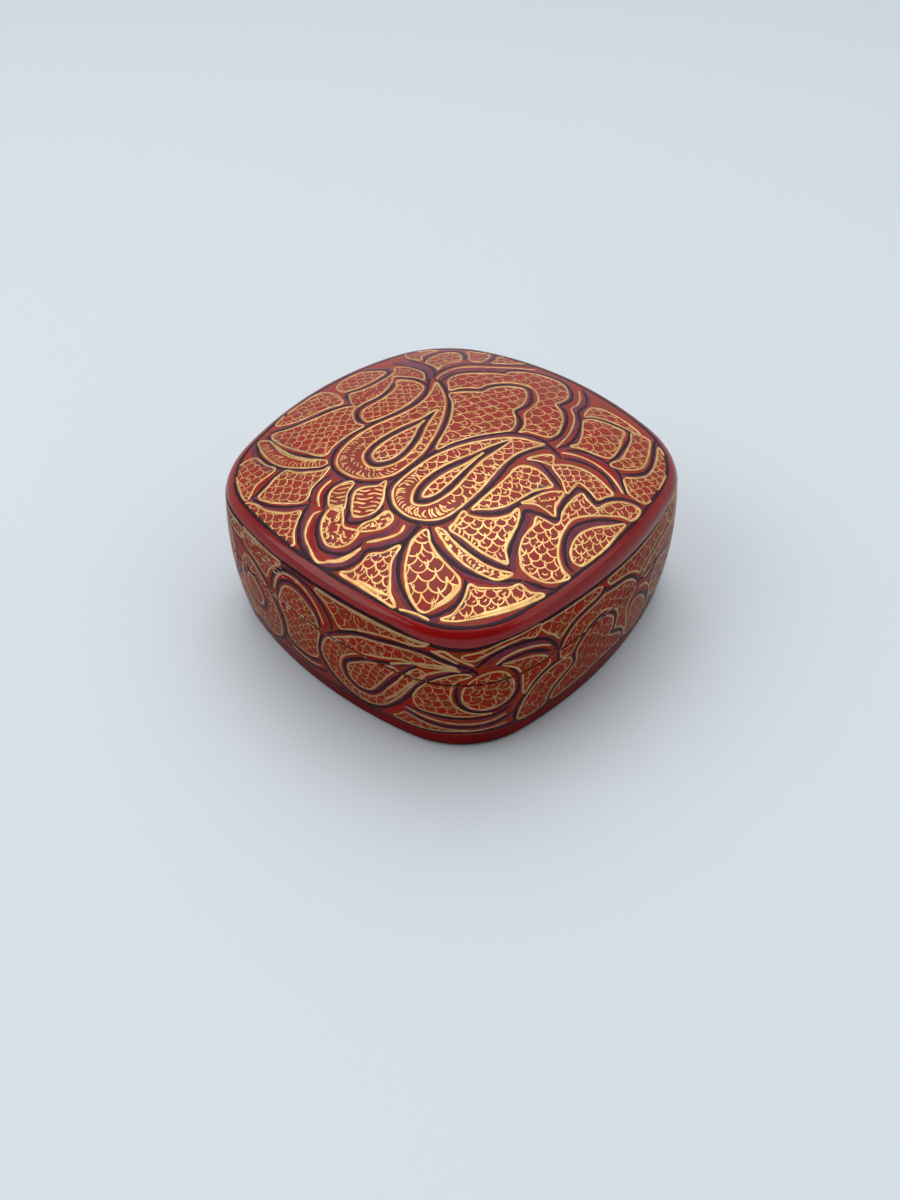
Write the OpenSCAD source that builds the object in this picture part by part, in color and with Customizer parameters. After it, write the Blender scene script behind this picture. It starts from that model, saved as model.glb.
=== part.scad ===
// Kashmiri papier mache box: a rounded-square box with a lift-off domed lid.
// One closed shell is laid up on a block and sawn round at the seam. The upper part
// is the lid, and the lower part becomes the base when its bottom board and the
// collar that the lid slips over are glued in.
// X and Y run square to the box's sides, Z is up, and the origin is the middle of
// the underside.

/* [Plan] */
// Width of the box across two opposite sides, at the lid's rim
box_w = 114; // [100:1:150]
// Radius of the slow curve of each side, seen from above
side_r = 137; // [110:1:260]
// Radius of each rounded corner, seen from above
corner_r = 29; // [22:0.5:34]

/* [Heights] */
// Height of the box at the crown of its lid
box_h = 52.8; // [48:0.2:70]
// Height of the saw cut that parts the lid from the base
seam_z = 28.2; // [22:0.2:32]
// Radius of the dome of the lid
crown_r = 230; // [180:5:400]
// How far the rounded shoulder of the lid reaches in from the rim
shoulder_in = 3.2; // [2.4:0.1:5]
// How far the shoulder falls from the dome's edge to the rim
shoulder_drop = 4; // [3:0.1:5]

/* [Walls] */
// Thickness of the wall of the base, without its swell
wall_t = 2.6; // [2:0.1:3.2]
// How far the wall swells out past the rim where it is widest
swell = 1.8; // [0.5:0.1:3]
// Height at which the wall is widest
swell_z = 19.4; // [15:0.2:23]
// Radius of the worn edge all round the underside
foot_r = 1.7; // [0.8:0.1:2.4]
// Thickness of the bottom board
floor_t = 3; // [2:0.1:5]

/* [Collar] */
// Thickness of the card strip that makes the collar
collar_t = 1.6; // [1:0.1:2.5]
// Depth of the strip that is glued inside the base
collar_glued = 14; // [6:0.5:16]
// Height of the strip that stands above the seam
collar_proud = 6.5; // [4:0.5:7]
// Gap all round between the collar and the inside of the lid
lid_gap = 0.4; // [0.2:0.05:0.8]
// Sanded corners along the collar's upper edge
collar_edge = 0.4; // [0.2:0.1:0.5]

/* [Hidden] */
// Flat steps along a side and round a corner of the plan
side_steps = 12;
corner_steps = 9;
// Flat steps along the other curves: dome, shoulder, the wall of the lid, the wall of
// the base and its worn foot
dome_steps = 7;
shoulder_steps = 4;
lid_steps = 4;
base_steps = 6;
foot_steps = 4;

// A side's arc and a corner's arc meet without a corner at angle meet_a. The arc of the
// side that faces +X has its centre at side_o on the X axis, and a corner's arc has its
// centre corner_o away from the origin along the diagonal.
side_o = box_w / 2 - side_r;
corner_c = (side_o + sqrt(2 * pow(side_r - corner_r, 2) - side_o * side_o)) / 2;
corner_o = corner_c * sqrt(2);
meet_a = atan2(corner_c, corner_c - side_o);

function polar(r, a) = [r * cos(a), r * sin(a)];
function arc(centre, r, a, turn, steps) =
    [for (i = [0:steps - 1]) centre + polar(r, a + turn * i / steps)];

// The plan line at the rim, moved out by d, counterclockwise from the +X side
function plan(d) = [
    for (a = [0:90:270]) each concat(
        arc(polar(side_o, a), side_r + d, a - meet_a, 2 * meet_a, side_steps),
        arc(polar(corner_o, a + 45), corner_r + d, a + meet_a, 90 - 2 * meet_a,
            corner_steps))
];
line = plan(0);
outward = plan(1) - line;
count = len(line);

// The dome is part of a ball, so its edge dips towards the corners, and the rim
// follows it
function dome_z(xy, r) = box_h - crown_r + sqrt(r * r - xy * xy);
rim = [for (p = plan(-shoulder_in)) dome_z(p, crown_r) - shoulder_drop];

// The shoulder is an arc that starts upright at the rim and runs into the dome
shoulder_r = (pow(shoulder_in, 2) + pow(shoulder_drop, 2)) / (2 * shoulder_in);
shoulder_a = asin(shoulder_drop / shoulder_r);
lid_t = wall_t - lid_gap;

// A ring is one point for each point of the plan line, i, d out from it and z high
function spot(i, d, z) = [line[i][0] + d * outward[i][0], line[i][1] + d * outward[i][1], z];
function level(d, z) = [for (i = [0:count - 1]) spot(i, d, z)];

function swollen(i, z) = swell * (1 - pow((z - swell_z) / (rim[i] - swell_z), 2));
function wall_ring(z) = [for (i = [0:count - 1]) spot(i, swollen(i, z), z)];
function lid_ring(share) =
    [for (i = [0:count - 1])
        let (z = seam_z + (rim[i] - seam_z) * share) spot(i, swollen(i, z), z)];
function foot_ring(a) =
    [for (i = [0:count - 1])
        spot(i, swollen(i, foot_r) - foot_r * (1 - sin(a)), foot_r * (1 - cos(a)))];

// Shoulder and dome, set in by t for the inside of the shell
function shoulder_ring(a, t) =
    [for (i = [0:count - 1])
        let (r = shoulder_r - t) spot(i, r * cos(a) - shoulder_r, rim[i] + r * sin(a))];
function dome_ring(share, t) =
    let (edge = shoulder_ring(shoulder_a, t))
    [for (p = edge)
        let (xy = share * [p[0], p[1]]) [xy[0], xy[1], dome_z(xy, crown_r - t)]];

// Skin over rings that run down the outside and up the inside
function skin(rings) =
    [for (k = [0:rings - 2], i = [0:count - 1])
        let (j = (i + 1) % count)
        [k * count + i, k * count + j, (k + 1) * count + j, (k + 1) * count + i]];

module closed_loop(rings) {
    n = len(rings);
    last = (n - 1) * count;
    polyhedron(
        points = [for (ring = rings) each ring],
        faces = concat(skin(n), [
            for (i = [0:count - 1]) let (j = (i + 1) % count) [last + i, last + j, j, i]
        ]));
}

module capped(top, rings, bottom) {
    n = len(rings);
    last = (n - 1) * count;
    polyhedron(
        points = [for (ring = rings) each ring, top, bottom],
        faces = concat(
            skin(n),
            [for (i = [0:count - 1]) [n * count, (i + 1) % count, i]],
            [for (i = [0:count - 1]) [last + i, last + (i + 1) % count, n * count + 1]]));
}

// Upper part of the shell: dome, shoulder and the wall down to the seam
module lid_shell() {
    color("firebrick") capped(
        [0, 0, box_h],
        [
            for (k = [1:dome_steps]) dome_ring(k / dome_steps, 0),
            for (k = [shoulder_steps - 1:-1:1]) shoulder_ring(shoulder_a * k / shoulder_steps, 0),
            for (k = [lid_steps:-1:0]) lid_ring(k / lid_steps),
            level(-lid_t, seam_z),
            for (k = [0:shoulder_steps - 1]) shoulder_ring(shoulder_a * k / shoulder_steps, lid_t),
            for (k = [dome_steps:-1:1]) dome_ring(k / dome_steps, lid_t)
        ],
        [0, 0, box_h - lid_t]);
}

// Lower part of the shell: a wall with no bottom, up to the seam
module base_wall() {
    color("brown") closed_loop([
        for (k = [base_steps:-1:1]) wall_ring(foot_r + (seam_z - foot_r) * k / base_steps),
        for (k = [foot_steps:-1:0]) foot_ring(90 * k / foot_steps),
        level(-wall_t, 0),
        level(-wall_t, seam_z)
    ]);
}

// Flat board glued inside the foot of the wall, level with its edge
module bottom_board() {
    color("saddlebrown") linear_extrude(floor_t) polygon(plan(-wall_t));
}

// Card strip bent round inside the base, which the lid slips over
module inner_collar() {
    foot = seam_z - collar_glued;
    top = seam_z + collar_proud;
    back = -wall_t;
    front = back - collar_t;
    color("black") closed_loop([
        level(back - collar_edge, top),
        level(back, top - collar_edge),
        level(back, foot),
        level(front, foot),
        level(front, top - collar_edge),
        level(front + collar_edge, top)
    ]);
}

lid_shell();
base_wall();
bottom_board();
inner_collar();
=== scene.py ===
import math
import random
import bpy
import numpy as np
from mathutils import Matrix


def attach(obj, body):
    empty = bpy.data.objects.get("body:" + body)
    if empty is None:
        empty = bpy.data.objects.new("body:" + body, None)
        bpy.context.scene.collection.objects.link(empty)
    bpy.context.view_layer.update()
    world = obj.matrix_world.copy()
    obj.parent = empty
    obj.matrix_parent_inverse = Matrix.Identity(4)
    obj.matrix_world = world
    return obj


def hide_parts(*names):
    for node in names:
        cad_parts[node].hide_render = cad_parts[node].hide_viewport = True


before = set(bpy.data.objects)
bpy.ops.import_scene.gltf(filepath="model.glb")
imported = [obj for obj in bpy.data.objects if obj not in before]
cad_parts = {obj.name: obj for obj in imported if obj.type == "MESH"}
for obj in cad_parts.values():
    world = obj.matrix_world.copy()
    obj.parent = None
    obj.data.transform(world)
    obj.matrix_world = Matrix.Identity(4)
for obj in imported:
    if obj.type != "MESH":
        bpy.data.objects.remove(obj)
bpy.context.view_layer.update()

# The view: a camera held over the near corner of the box, looking down at it by 47
# degrees. Its place and its lens come from a fit to the rim, the seam and the foot.
lens = bpy.data.cameras.new("lens")
lens.sensor_width = 36
lens.lens = 27.03
lens.clip_start = 0.01


def in_scene(name, data):
    """An object made of data, put in the scene"""
    made = bpy.data.objects.new(name, data)
    bpy.context.collection.objects.link(made)
    return made


camera = in_scene("camera", lens)
camera.matrix_world = Matrix((
    (0.6625, 0.5537, -0.5045, -0.1503),
    (-0.7490, 0.4817, -0.4549, -0.1340),
    (-0.0089, 0.6792, 0.7339, 0.2061),
    (0, 0, 0, 1),
))
bpy.context.scene.camera = camera
bpy.context.scene.view_settings.view_transform = "Standard"

# The table: a plain flat top in a pale matt paint. It looks pale, in mirror images too, but
# near the box the light that it throws back is low and brown, so that it doesn't light the
# walls from below.
TABLE_REACH = 3
DIM_REACH = (0.118, 0.071, 10)
DIM_EDGE = 0.006
DIM_TURN = math.radians(53)


def feed(tree, socket, value):
    """Set a socket to a value, or link it to the socket that the value comes from"""
    if isinstance(value, bpy.types.NodeSocket):
        tree.links.new(value, socket)
    else:
        socket.default_value = value


def blend(tree, factor, a, b):
    """A colour between a and b"""
    mix = tree.nodes.new("ShaderNodeMix")
    mix.data_type = "RGBA"
    for name, value in (("Factor", factor), ("A", a), ("B", b)):
        feed(tree, mix.inputs[name], value)
    return mix.outputs["Result"]


def reckon(tree, operation, a, b):
    """Two values added, multiplied and so on"""
    maths = tree.nodes.new("ShaderNodeMath")
    maths.operation = operation
    feed(tree, maths.inputs[0], a)
    feed(tree, maths.inputs[1], b)
    return maths.outputs[0]


def ramp(tree, value, low, high, first=0, last=1, kind="SMOOTHSTEP"):
    """From first to last while a value goes from low to high"""
    slope = tree.nodes.new("ShaderNodeMapRange")
    slope.interpolation_type = kind
    feed(tree, slope.inputs["Value"], value)
    slope.inputs["From Min"].default_value = low
    slope.inputs["From Max"].default_value = high
    slope.inputs["To Min"].default_value = first
    slope.inputs["To Max"].default_value = last
    return slope.outputs["Result"]


def looking(tree):
    """1 for the rays that show a thing to the eye: straight, mirrored or through glass"""
    path = tree.nodes.new("ShaderNodeLightPath")
    shown = path.outputs["Is Camera Ray"]
    for kind in ("Is Glossy Ray", "Is Transmission Ray"):
        shown = reckon(tree, "ADD", shown, path.outputs[kind])
        shown.node.use_clamp = True
    return shown


table_paint = bpy.data.materials.new("table_paint")
table_paint.use_nodes = True
tree = table_paint.node_tree
cloud = tree.nodes.new("ShaderNodeTexNoise")
cloud.inputs["Scale"].default_value = 3.0
pale = blend(tree, cloud.outputs["Fac"], (0.79, 0.865, 0.925, 1), (0.83, 0.90, 0.96, 1))

place = tree.nodes.new("ShaderNodeTexCoord")
turned = tree.nodes.new("ShaderNodeVectorRotate")
turned.rotation_type = "Z_AXIS"
turned.inputs["Angle"].default_value = DIM_TURN
feed(tree, turned.inputs["Vector"], place.outputs["Object"])
apart = tree.nodes.new("ShaderNodeVectorMath")
apart.operation = "ABSOLUTE"
feed(tree, apart.inputs[0], turned.outputs["Vector"])
past = tree.nodes.new("ShaderNodeVectorMath")
past.operation = "SUBTRACT"
feed(tree, past.inputs[0], apart.outputs["Vector"])
past.inputs[1].default_value = DIM_REACH
sides = tree.nodes.new("ShaderNodeSeparateXYZ")
feed(tree, sides.inputs["Vector"], past.outputs["Vector"])
outer = reckon(tree, "MAXIMUM", sides.outputs["X"], sides.outputs["Y"])
away = ramp(tree, outer, -DIM_EDGE, DIM_EDGE, kind="LINEAR")
thrown = blend(tree, away, (0.10, 0.075, 0.055, 1), (0.76, 0.81, 0.85, 1))
matt = tree.nodes["Principled BSDF"]
feed(tree, matt.inputs["Base Color"], blend(tree, looking(tree), thrown, pale))
matt.inputs["Roughness"].default_value = 0.6
matt.inputs["Specular IOR Level"].default_value = 0.2

table_top = bpy.data.meshes.new("table_top")
corners = [(x * TABLE_REACH, y * TABLE_REACH, 0) for x, y in ((-1, -1), (1, -1), (1, 1), (-1, 1))]
table_top.from_pydata(corners, [], [(0, 1, 2, 3)])
table_top.materials.append(table_paint)
table = in_scene("table_top", table_top)

# The room: soft light, brightest overhead and beyond the box and dim behind the camera. Low
# down it looks like a plain pale wall, in mirror images too.
OVERHEAD = (0.36, 0.30, 0.88)
BEHIND_CAMERA = (-0.49, -0.43, 0.76)
UP = (0, 0, 1)

room = bpy.data.worlds.new("room")
bpy.context.scene.world = room
room.use_nodes = True
air = room.node_tree
toward = air.nodes.new("ShaderNodeTexCoord")


def facing(way, low, high, dim, bright):
    """From dim to bright as the ray turns to look that way"""
    dot = air.nodes.new("ShaderNodeVectorMath")
    dot.operation = "DOT_PRODUCT"
    feed(air, dot.inputs[0], toward.outputs["Generated"])
    dot.inputs[1].default_value = way
    return ramp(air, dot.outputs["Value"], low, high, dim, bright)


soft_light = air.nodes["Background"]
soft_light.inputs["Color"].default_value = (0.97, 0.985, 1.0, 1)
strength = reckon(air, "MULTIPLY", facing(OVERHEAD, 0.74, 1.0, 0.40, 1.85),
                  facing(BEHIND_CAMERA, 0.72, 0.95, 1.0, 0.12))
feed(air, soft_light.inputs["Strength"], strength)
pale_wall = air.nodes.new("ShaderNodeBackground")
pale_wall.inputs["Color"].default_value = (0.62, 0.68, 0.72, 1)
shown = air.nodes.new("ShaderNodeMixShader")
low_down = reckon(air, "MULTIPLY", looking(air), facing(UP, 0.35, 0.6, 1, 0))
feed(air, shown.inputs["Fac"], low_down)
feed(air, shown.inputs[1], soft_light.outputs["Background"])
feed(air, shown.inputs[2], pale_wall.outputs["Background"])
feed(air, air.nodes["World Output"].inputs["Surface"], shown.outputs["Shader"])

# Three wide soft lamps, one overhead and two like windows, all kept low so that the paint
# shows about the colour it is.
def hang_lamp(name, azimuth, height, distance, size, watts, colour):
    """A panel that faces the box from so many degrees round it and above it, metres away"""
    panel = bpy.data.lights.new(name, "AREA")
    panel.shape = "RECTANGLE"
    panel.size, panel.size_y = size
    panel.energy = watts
    panel.color = colour
    lamp = in_scene(name, panel)
    azimuth, height = math.radians(azimuth), math.radians(height)
    lamp.location = (distance * math.cos(azimuth) * math.cos(height),
                     distance * math.sin(azimuth) * math.cos(height), distance * math.sin(height))
    lamp.rotation_euler = lamp.location.to_track_quat("Z", "Y").to_euler()


hang_lamp("ceiling_light", 40, 64, 1.1, (0.5, 0.4), 0.7, (1.0, 0.98, 0.94))
hang_lamp("window_left", 140, 46, 1.2, (0.9, 0.7), 3.2, (1.0, 0.99, 0.97))
hang_lamp("window_right", 305, 50, 1.2, (0.8, 0.6), 1.2, (1.0, 0.99, 0.97))


# The base wall: the lower part of a shell of paper pulp laid up on a block, then sawn
# round at the seam. Seen from above its line is four slow side arcs and four corners. Its
# foot is rounded and painted a plain red. Towards the bottom, where it curves under, the red
# is darkened to near black, a painted shade.
MM = 0.001
BOX_W, SIDE_R, CORNER_R = 114, 137, 29
BOX_H, SEAM_Z, CROWN_R = 52.8, 28.2, 230
SHOULDER_IN, SHOULDER_DROP = 3.2, 4
WALL_T, SWELL, SWELL_Z, FOOT_R = 2.6, 1.8, 19.4, 1.7
FOOT_BAND = 6.2
SEAM_GAP = 0.16
COAT = 0.08

side_o = BOX_W / 2 - SIDE_R
corner_c = (side_o + math.sqrt(2 * (SIDE_R - CORNER_R) ** 2 - side_o ** 2)) / 2
meet = math.atan2(corner_c, corner_c - side_o)
SIDE = SIDE_R * 2 * meet
QUARTER = SIDE + CORNER_R * (math.pi / 2 - 2 * meet)
ROUND = 4 * QUARTER
NEAR = 2.5 * QUARTER
SHOULDER_R = (SHOULDER_IN ** 2 + SHOULDER_DROP ** 2) / (2 * SHOULDER_IN)
SHOULDER_A = math.asin(SHOULDER_DROP / SHOULDER_R)


def plan_at(s):
    """Place and outward direction on the rim line, s round it from the middle of the +X side"""
    s = np.mod(np.asarray(s, float) + SIDE / 2, ROUND)
    quarter = np.floor(s / QUARTER)
    t = s - quarter * QUARTER
    straight = t < SIDE
    turn = (math.pi / 2 - 2 * meet) / (QUARTER - SIDE)
    a = np.where(straight, -meet + 2 * meet * t / SIDE, meet + turn * (t - SIDE))
    x = np.where(straight, side_o, corner_c) + np.where(straight, SIDE_R, CORNER_R) * np.cos(a)
    y = np.where(straight, 0, corner_c) + np.where(straight, SIDE_R, CORNER_R) * np.sin(a)
    q = quarter * math.pi / 2
    return x * np.cos(q) - y * np.sin(q), x * np.sin(q) + y * np.cos(q), np.cos(a + q), np.sin(a + q)


def on_dome(x, y, lift):
    """Place on the lid's dome over x, y, raised by lift"""
    x, y = np.asarray(x, float), np.asarray(y, float)
    return np.stack([x, y, BOX_H - CROWN_R + np.sqrt((CROWN_R + lift) ** 2 - x * x - y * y)], -1)


def rim_at(s):
    """Height where the wall ends and the shoulder of the lid begins"""
    x, y, nx, ny = plan_at(s)
    return on_dome(x - SHOULDER_IN * nx, y - SHOULDER_IN * ny, 0)[..., 2] - SHOULDER_DROP


def on_wall(s, z, lift):
    """Skin of the box at height z, from the foot up the wall and over the shoulder"""
    s, z, lift = np.broadcast_arrays(np.asarray(s, float), z, lift)
    x, y, nx, ny = plan_at(s)
    rim = rim_at(s)
    out = SWELL * (1 - ((np.clip(z, FOOT_R, rim) - SWELL_Z) / (rim - SWELL_Z)) ** 2) + lift
    low = np.clip(FOOT_R - z, 0, FOOT_R)
    out = out - FOOT_R + np.sqrt(FOOT_R ** 2 - low ** 2)
    a = np.arcsin(np.clip((z - rim) / SHOULDER_R, 0, 1))
    over = z > rim
    out = np.where(over, (SHOULDER_R + lift) * np.cos(a) - SHOULDER_R, out)
    z = np.where(over, rim + (SHOULDER_R + lift) * np.sin(a), z)
    return np.stack([x + out * nx, y + out * ny, z], -1)


AROUND = np.arange(320) * ROUND / 320


def ring_in(d, z):
    """A ring parallel to the rim line, d outside it, at height z"""
    x, y, nx, ny = plan_at(AROUND)
    return np.stack([x + d * nx, y + d * ny, np.broadcast_to(z, x.shape)], -1)


def shell(name, rings, finishes, middles=()):
    """Skin over rings, each with its finish for the strip below it and how much wear, painted sheen
    and painted shade it shows
    """
    count = len(AROUND)
    ends = [np.array(middle, float)[None] for middle in middles]
    points = np.concatenate([ring[0] for ring in rings] + ends)
    faces, slots = [], []
    step = np.arange(count)
    after = (step + 1) % count
    pairs = len(rings) - 1 if middles else len(rings)
    for k in range(pairs):
        a, b = k * count, (k + 1) % len(rings) * count
        faces += np.stack([a + step, b + step, b + after, a + after], 1).tolist()
        slots += [rings[k][1]] * count
    last = (len(rings) - 1) * count
    for m, edge, way in zip(range(len(middles)), (0, last), (1, -1)):
        for i, j in zip(step, after):
            faces.append([len(rings) * count + m, edge + i, edge + j][::way])
            slots.append(rings[0 if m == 0 else -1][1])
    mesh = bpy.data.meshes.new(name)
    mesh.from_pydata((points * MM).tolist(), [], faces)
    for finish in finishes:
        mesh.materials.append(finish)
    mesh.polygons.foreach_set("material_index", slots)
    mesh.shade_smooth()
    wear_and_painted_light = mesh.attributes.new("wear_and_painted_light", "FLOAT", "POINT")
    wear_and_light = [np.broadcast_to(ring[2], count) for ring in rings]
    wear_and_light = np.concatenate(wear_and_light + [np.zeros(len(middles))])
    wear_and_painted_light.data.foreach_set("value", wear_and_light)
    return in_scene(name, mesh)


FINE_GRAIN, EDGE_GRAIN, SMEARS, BRUSH_WAVES = 2600, 700, 90, 160


def paint_group():
    """Hand-laid paint under varnish: two tones in patches, specks, and a mask for rubbed edges,
    painted sheen and painted shade
    """
    group = bpy.data.node_groups.new("laid_paint", "ShaderNodeTree")
    sockets = (("Colour", "NodeSocketColor"), ("Second colour", "NodeSocketColor"),
               ("Wear and light colour", "NodeSocketColor"), ("Patch scale", "NodeSocketFloat"),
               ("Wear and light reach", "NodeSocketFloat"), ("Gloss", "NodeSocketFloat"))
    for label, kind in sockets:
        group.interface.new_socket(label, in_out="INPUT", socket_type=kind)
    for label, kind in (("Colour", "NodeSocketColor"), ("Roughness", "NodeSocketFloat"),
                        ("Height", "NodeSocketFloat")):
        group.interface.new_socket(label, in_out="OUTPUT", socket_type=kind)
    ins, outs = group.nodes.new("NodeGroupInput"), group.nodes.new("NodeGroupOutput")
    place = group.nodes.new("ShaderNodeTexCoord")

    def speckle(scale, detail):
        """Noise that is fixed to the piece"""
        noise = group.nodes.new("ShaderNodeTexNoise")
        feed(group, noise.inputs["Vector"], place.outputs["Object"])
        feed(group, noise.inputs["Scale"], scale)
        noise.inputs["Detail"].default_value = detail
        return noise.outputs["Fac"]

    patch = speckle(ins.outputs["Patch scale"], 3)
    two_tone = blend(group, ramp(group, patch, 0.38, 0.64), ins.outputs["Colour"],
                     ins.outputs["Second colour"])
    grain = speckle(FINE_GRAIN, 2)
    specks = reckon(group, "MULTIPLY", ramp(group, grain, 0.58, 0.8), 0.35)
    speckled = blend(group, specks, two_tone, (0.03, 0.01, 0.01, 1))
    edge = group.nodes.new("ShaderNodeAttribute")
    edge.attribute_name = "wear_and_painted_light"
    wear_and_light = reckon(group, "MULTIPLY", edge.outputs["Fac"], ins.outputs["Wear and light reach"])
    wear_and_light = ramp(group, reckon(group, "ADD", wear_and_light, speckle(EDGE_GRAIN, 5)), 1.02, 1.12)
    colour = blend(group, wear_and_light, speckled, ins.outputs["Wear and light colour"])

    dull = reckon(group, "MULTIPLY", ramp(group, speckle(SMEARS, 4), 0.45, 0.75), 0.12)
    varnish = reckon(group, "ADD", ins.outputs["Gloss"], dull)
    rough = reckon(group, "ADD", varnish, reckon(group, "MULTIPLY", wear_and_light, 0.3))

    pits = reckon(group, "MULTIPLY", grain, 0.06)
    height = reckon(group, "ADD", speckle(BRUSH_WAVES, 2), pits)
    height = reckon(group, "SUBTRACT", height, reckon(group, "MULTIPLY", wear_and_light, 0.5))
    for name, value in (("Colour", colour), ("Roughness", rough), ("Height", height)):
        feed(group, outs.inputs[name], value)
    return group


laid_paint = paint_group()


def paint(name, colour, second, patch=260, wear_and_light_reach=0.0, wear_and_painted_light=(0.5, 0.36, 0.2), gloss=0.1,
          metal=0.0, relief=0.00006, varnish=0.0, shine=0.12):
    """A finish of two tones in patches, and how far its worn edges, painted sheen and painted shade
    show
    """
    finish = bpy.data.materials.new(name)
    finish.use_nodes = True
    tree = finish.node_tree
    shader = tree.nodes["Principled BSDF"]
    laid = tree.nodes.new("ShaderNodeGroup")
    laid.node_tree = laid_paint
    laid.inputs["Colour"].default_value = (*colour, 1)
    laid.inputs["Second colour"].default_value = (*second, 1)
    laid.inputs["Wear and light colour"].default_value = (*wear_and_painted_light, 1)
    laid.inputs["Patch scale"].default_value = patch
    laid.inputs["Wear and light reach"].default_value = wear_and_light_reach
    laid.inputs["Gloss"].default_value = gloss
    bump = tree.nodes.new("ShaderNodeBump")
    bump.inputs["Distance"].default_value = relief
    bump.inputs["Strength"].default_value = 1.0
    feed(tree, shader.inputs["Base Color"], laid.outputs["Colour"])
    feed(tree, shader.inputs["Roughness"], laid.outputs["Roughness"])
    feed(tree, bump.inputs["Height"], laid.outputs["Height"])
    feed(tree, shader.inputs["Normal"], bump.outputs["Normal"])
    shader.inputs["Metallic"].default_value = metal
    shader.inputs["Specular IOR Level"].default_value = shine
    shader.inputs["Coat Weight"].default_value = varnish
    shader.inputs["Coat Roughness"].default_value = 0.06
    return finish


wall_red = paint("wall_red", (0.34, 0.014, 0.006), (0.26, 0.038, 0.010), wear_and_light_reach=0.5,
                 wear_and_painted_light=(0.52, 0.40, 0.32), gloss=0.16, shine=0.02)
foot_red = paint("foot_red", (0.25, 0.006, 0.006), (0.19, 0.005, 0.006), patch=90, wear_and_light_reach=0.62,
                 wear_and_painted_light=(0.03, 0.02, 0.016), gloss=0.16, shine=0.01)
black_lacquer = paint("black_lacquer", (0.012, 0.009, 0.008), (0.02, 0.013, 0.01), patch=120,
                      gloss=0.18, relief=0.00012)

WALL, FOOT, INSIDE = range(3)
low_cut = SEAM_Z - SEAM_GAP
base_rings = [
    (ring_in(-WALL_T + 0.5, low_cut), INSIDE, 0.5),
    (on_wall(AROUND, low_cut, -COAT - 0.25), INSIDE, 0.5),
    (on_wall(AROUND, low_cut - 0.07, -COAT - 0.08), WALL, 1),
    (on_wall(AROUND, low_cut - 0.2, -COAT), WALL, 1),
]
for z in np.linspace(low_cut - 0.5, FOOT_BAND + 1, 18):
    base_rings.append((on_wall(AROUND, z, -COAT), WALL, 0.0))
# Painted shade: towards the bottom the foot's red goes to near black where it curves under
for z, wear_and_light in ((FOOT_BAND, 0), (4.5, 0), (3, 0.2), (2.2, 0.5), (1.7, 0.8)):
    base_rings.append((on_wall(AROUND, z, -COAT), FOOT, wear_and_light))
for a in np.radians((75, 60, 45, 30, 15)):
    base_rings.append((on_wall(AROUND, FOOT_R * (1 - math.cos(a)), -COAT), FOOT, 1))
base_rings += [
    (ring_in(-FOOT_R + 1, 0), INSIDE, 1),
    (ring_in(-WALL_T + 0.4, 0), INSIDE, 0.4),
    (ring_in(-WALL_T, 0.05), INSIDE, 0),
]
for z in (3, 14, SEAM_Z - 0.5):
    base_rings.append((ring_in(-WALL_T, z), INSIDE, 0))
base_ground = shell("base_ground", base_rings, (wall_red, foot_red, black_lacquer))
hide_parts("base_wall")
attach(base_ground, "base")

# The bottom board: a thin flat board of card, glued inside the foot of the wall and
# lacquered black on both faces.
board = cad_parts["bottom_board"]
board.data.materials.clear()
board.data.materials.append(black_lacquer)

# The collar: a strip of card bent round inside the base and glued, so that the lid slips
# over it. Its upper edge is sanded round.
COLLAR_T, COLLAR_FOOT, COLLAR_TOP, COLLAR_ROUND = 1.6, SEAM_Z - 14, SEAM_Z + 6.5, 0.4
collar_black = paint("collar_black", (0.012, 0.009, 0.008), (0.022, 0.015, 0.012), patch=120,
                     gloss=0.25, relief=0.00012, wear_and_light_reach=0.45, wear_and_painted_light=(0.20, 0.13, 0.08))

back, front = -WALL_T, -WALL_T - COLLAR_T
collar_edge = COLLAR_TOP - COLLAR_ROUND
collar_rings = [
    (ring_in(back, COLLAR_FOOT), 0, 0),
    (ring_in(front, COLLAR_FOOT), 0, 0),
    (ring_in(front, SEAM_Z), 0, 0),
    (ring_in(front, collar_edge), 0, 0),
]
for a in np.radians((30, 60, 90, 120, 150)):
    across = (back + front) / 2 - COLLAR_T / 2 * math.cos(a)
    collar_rings.append((ring_in(across, collar_edge + COLLAR_ROUND * math.sin(a)), 0, 1))
collar_rings += [(ring_in(back, collar_edge), 0, 0.6), (ring_in(back, SEAM_Z), 0, 0)]
collar = shell("collar_strip", collar_rings[::-1], (collar_black,))
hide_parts("inner_collar")
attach(collar, "base")

# The lid: the upper part of the same shell, from the seam up the wall, over a soft
# shoulder and into the dome. It is painted brick red, with a brighter plain band round
# the shoulder. Below the band at the left its wall is paled, a painted sheen.
LID_T = WALL_T - 0.4
# Where round the lid, and how widely, the painted sheen lies below the band
SHEEN_AT, SHEEN_ROUND = -66, 13


def flowing(points, step=0.5, ring=False):
    """A smooth line through a few given points, or a closed ring through them"""
    p = np.array(points, float)
    before, after = (p[-1], p[:2]) if ring else (2 * p[0] - p[1], 2 * p[-1] - p[-2])
    p = np.vstack([before, p, after])
    line = []
    for a, b, c, d in zip(p, p[1:], p[2:], p[3:]):
        u, v, w = (max(math.dist(*pair), 0.05) ** 0.5 for pair in ((a, b), (b, c), (c, d)))
        t = np.linspace(0, v, max(2, round(math.dist(b, c) / step)), endpoint=False)[:, None]
        ab, bc, cd = a + (b - a) * (t + u) / u, b + (c - b) * t / v, c + (d - c) * (t - v) / w
        abc, bcd = ab + (bc - ab) * (t + u) / (u + v), bc + (cd - bc) * t / (v + w)
        line.append(abc + (bcd - abc) * t / v)
    return np.vstack(line + [p[-2:-1]])


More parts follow.
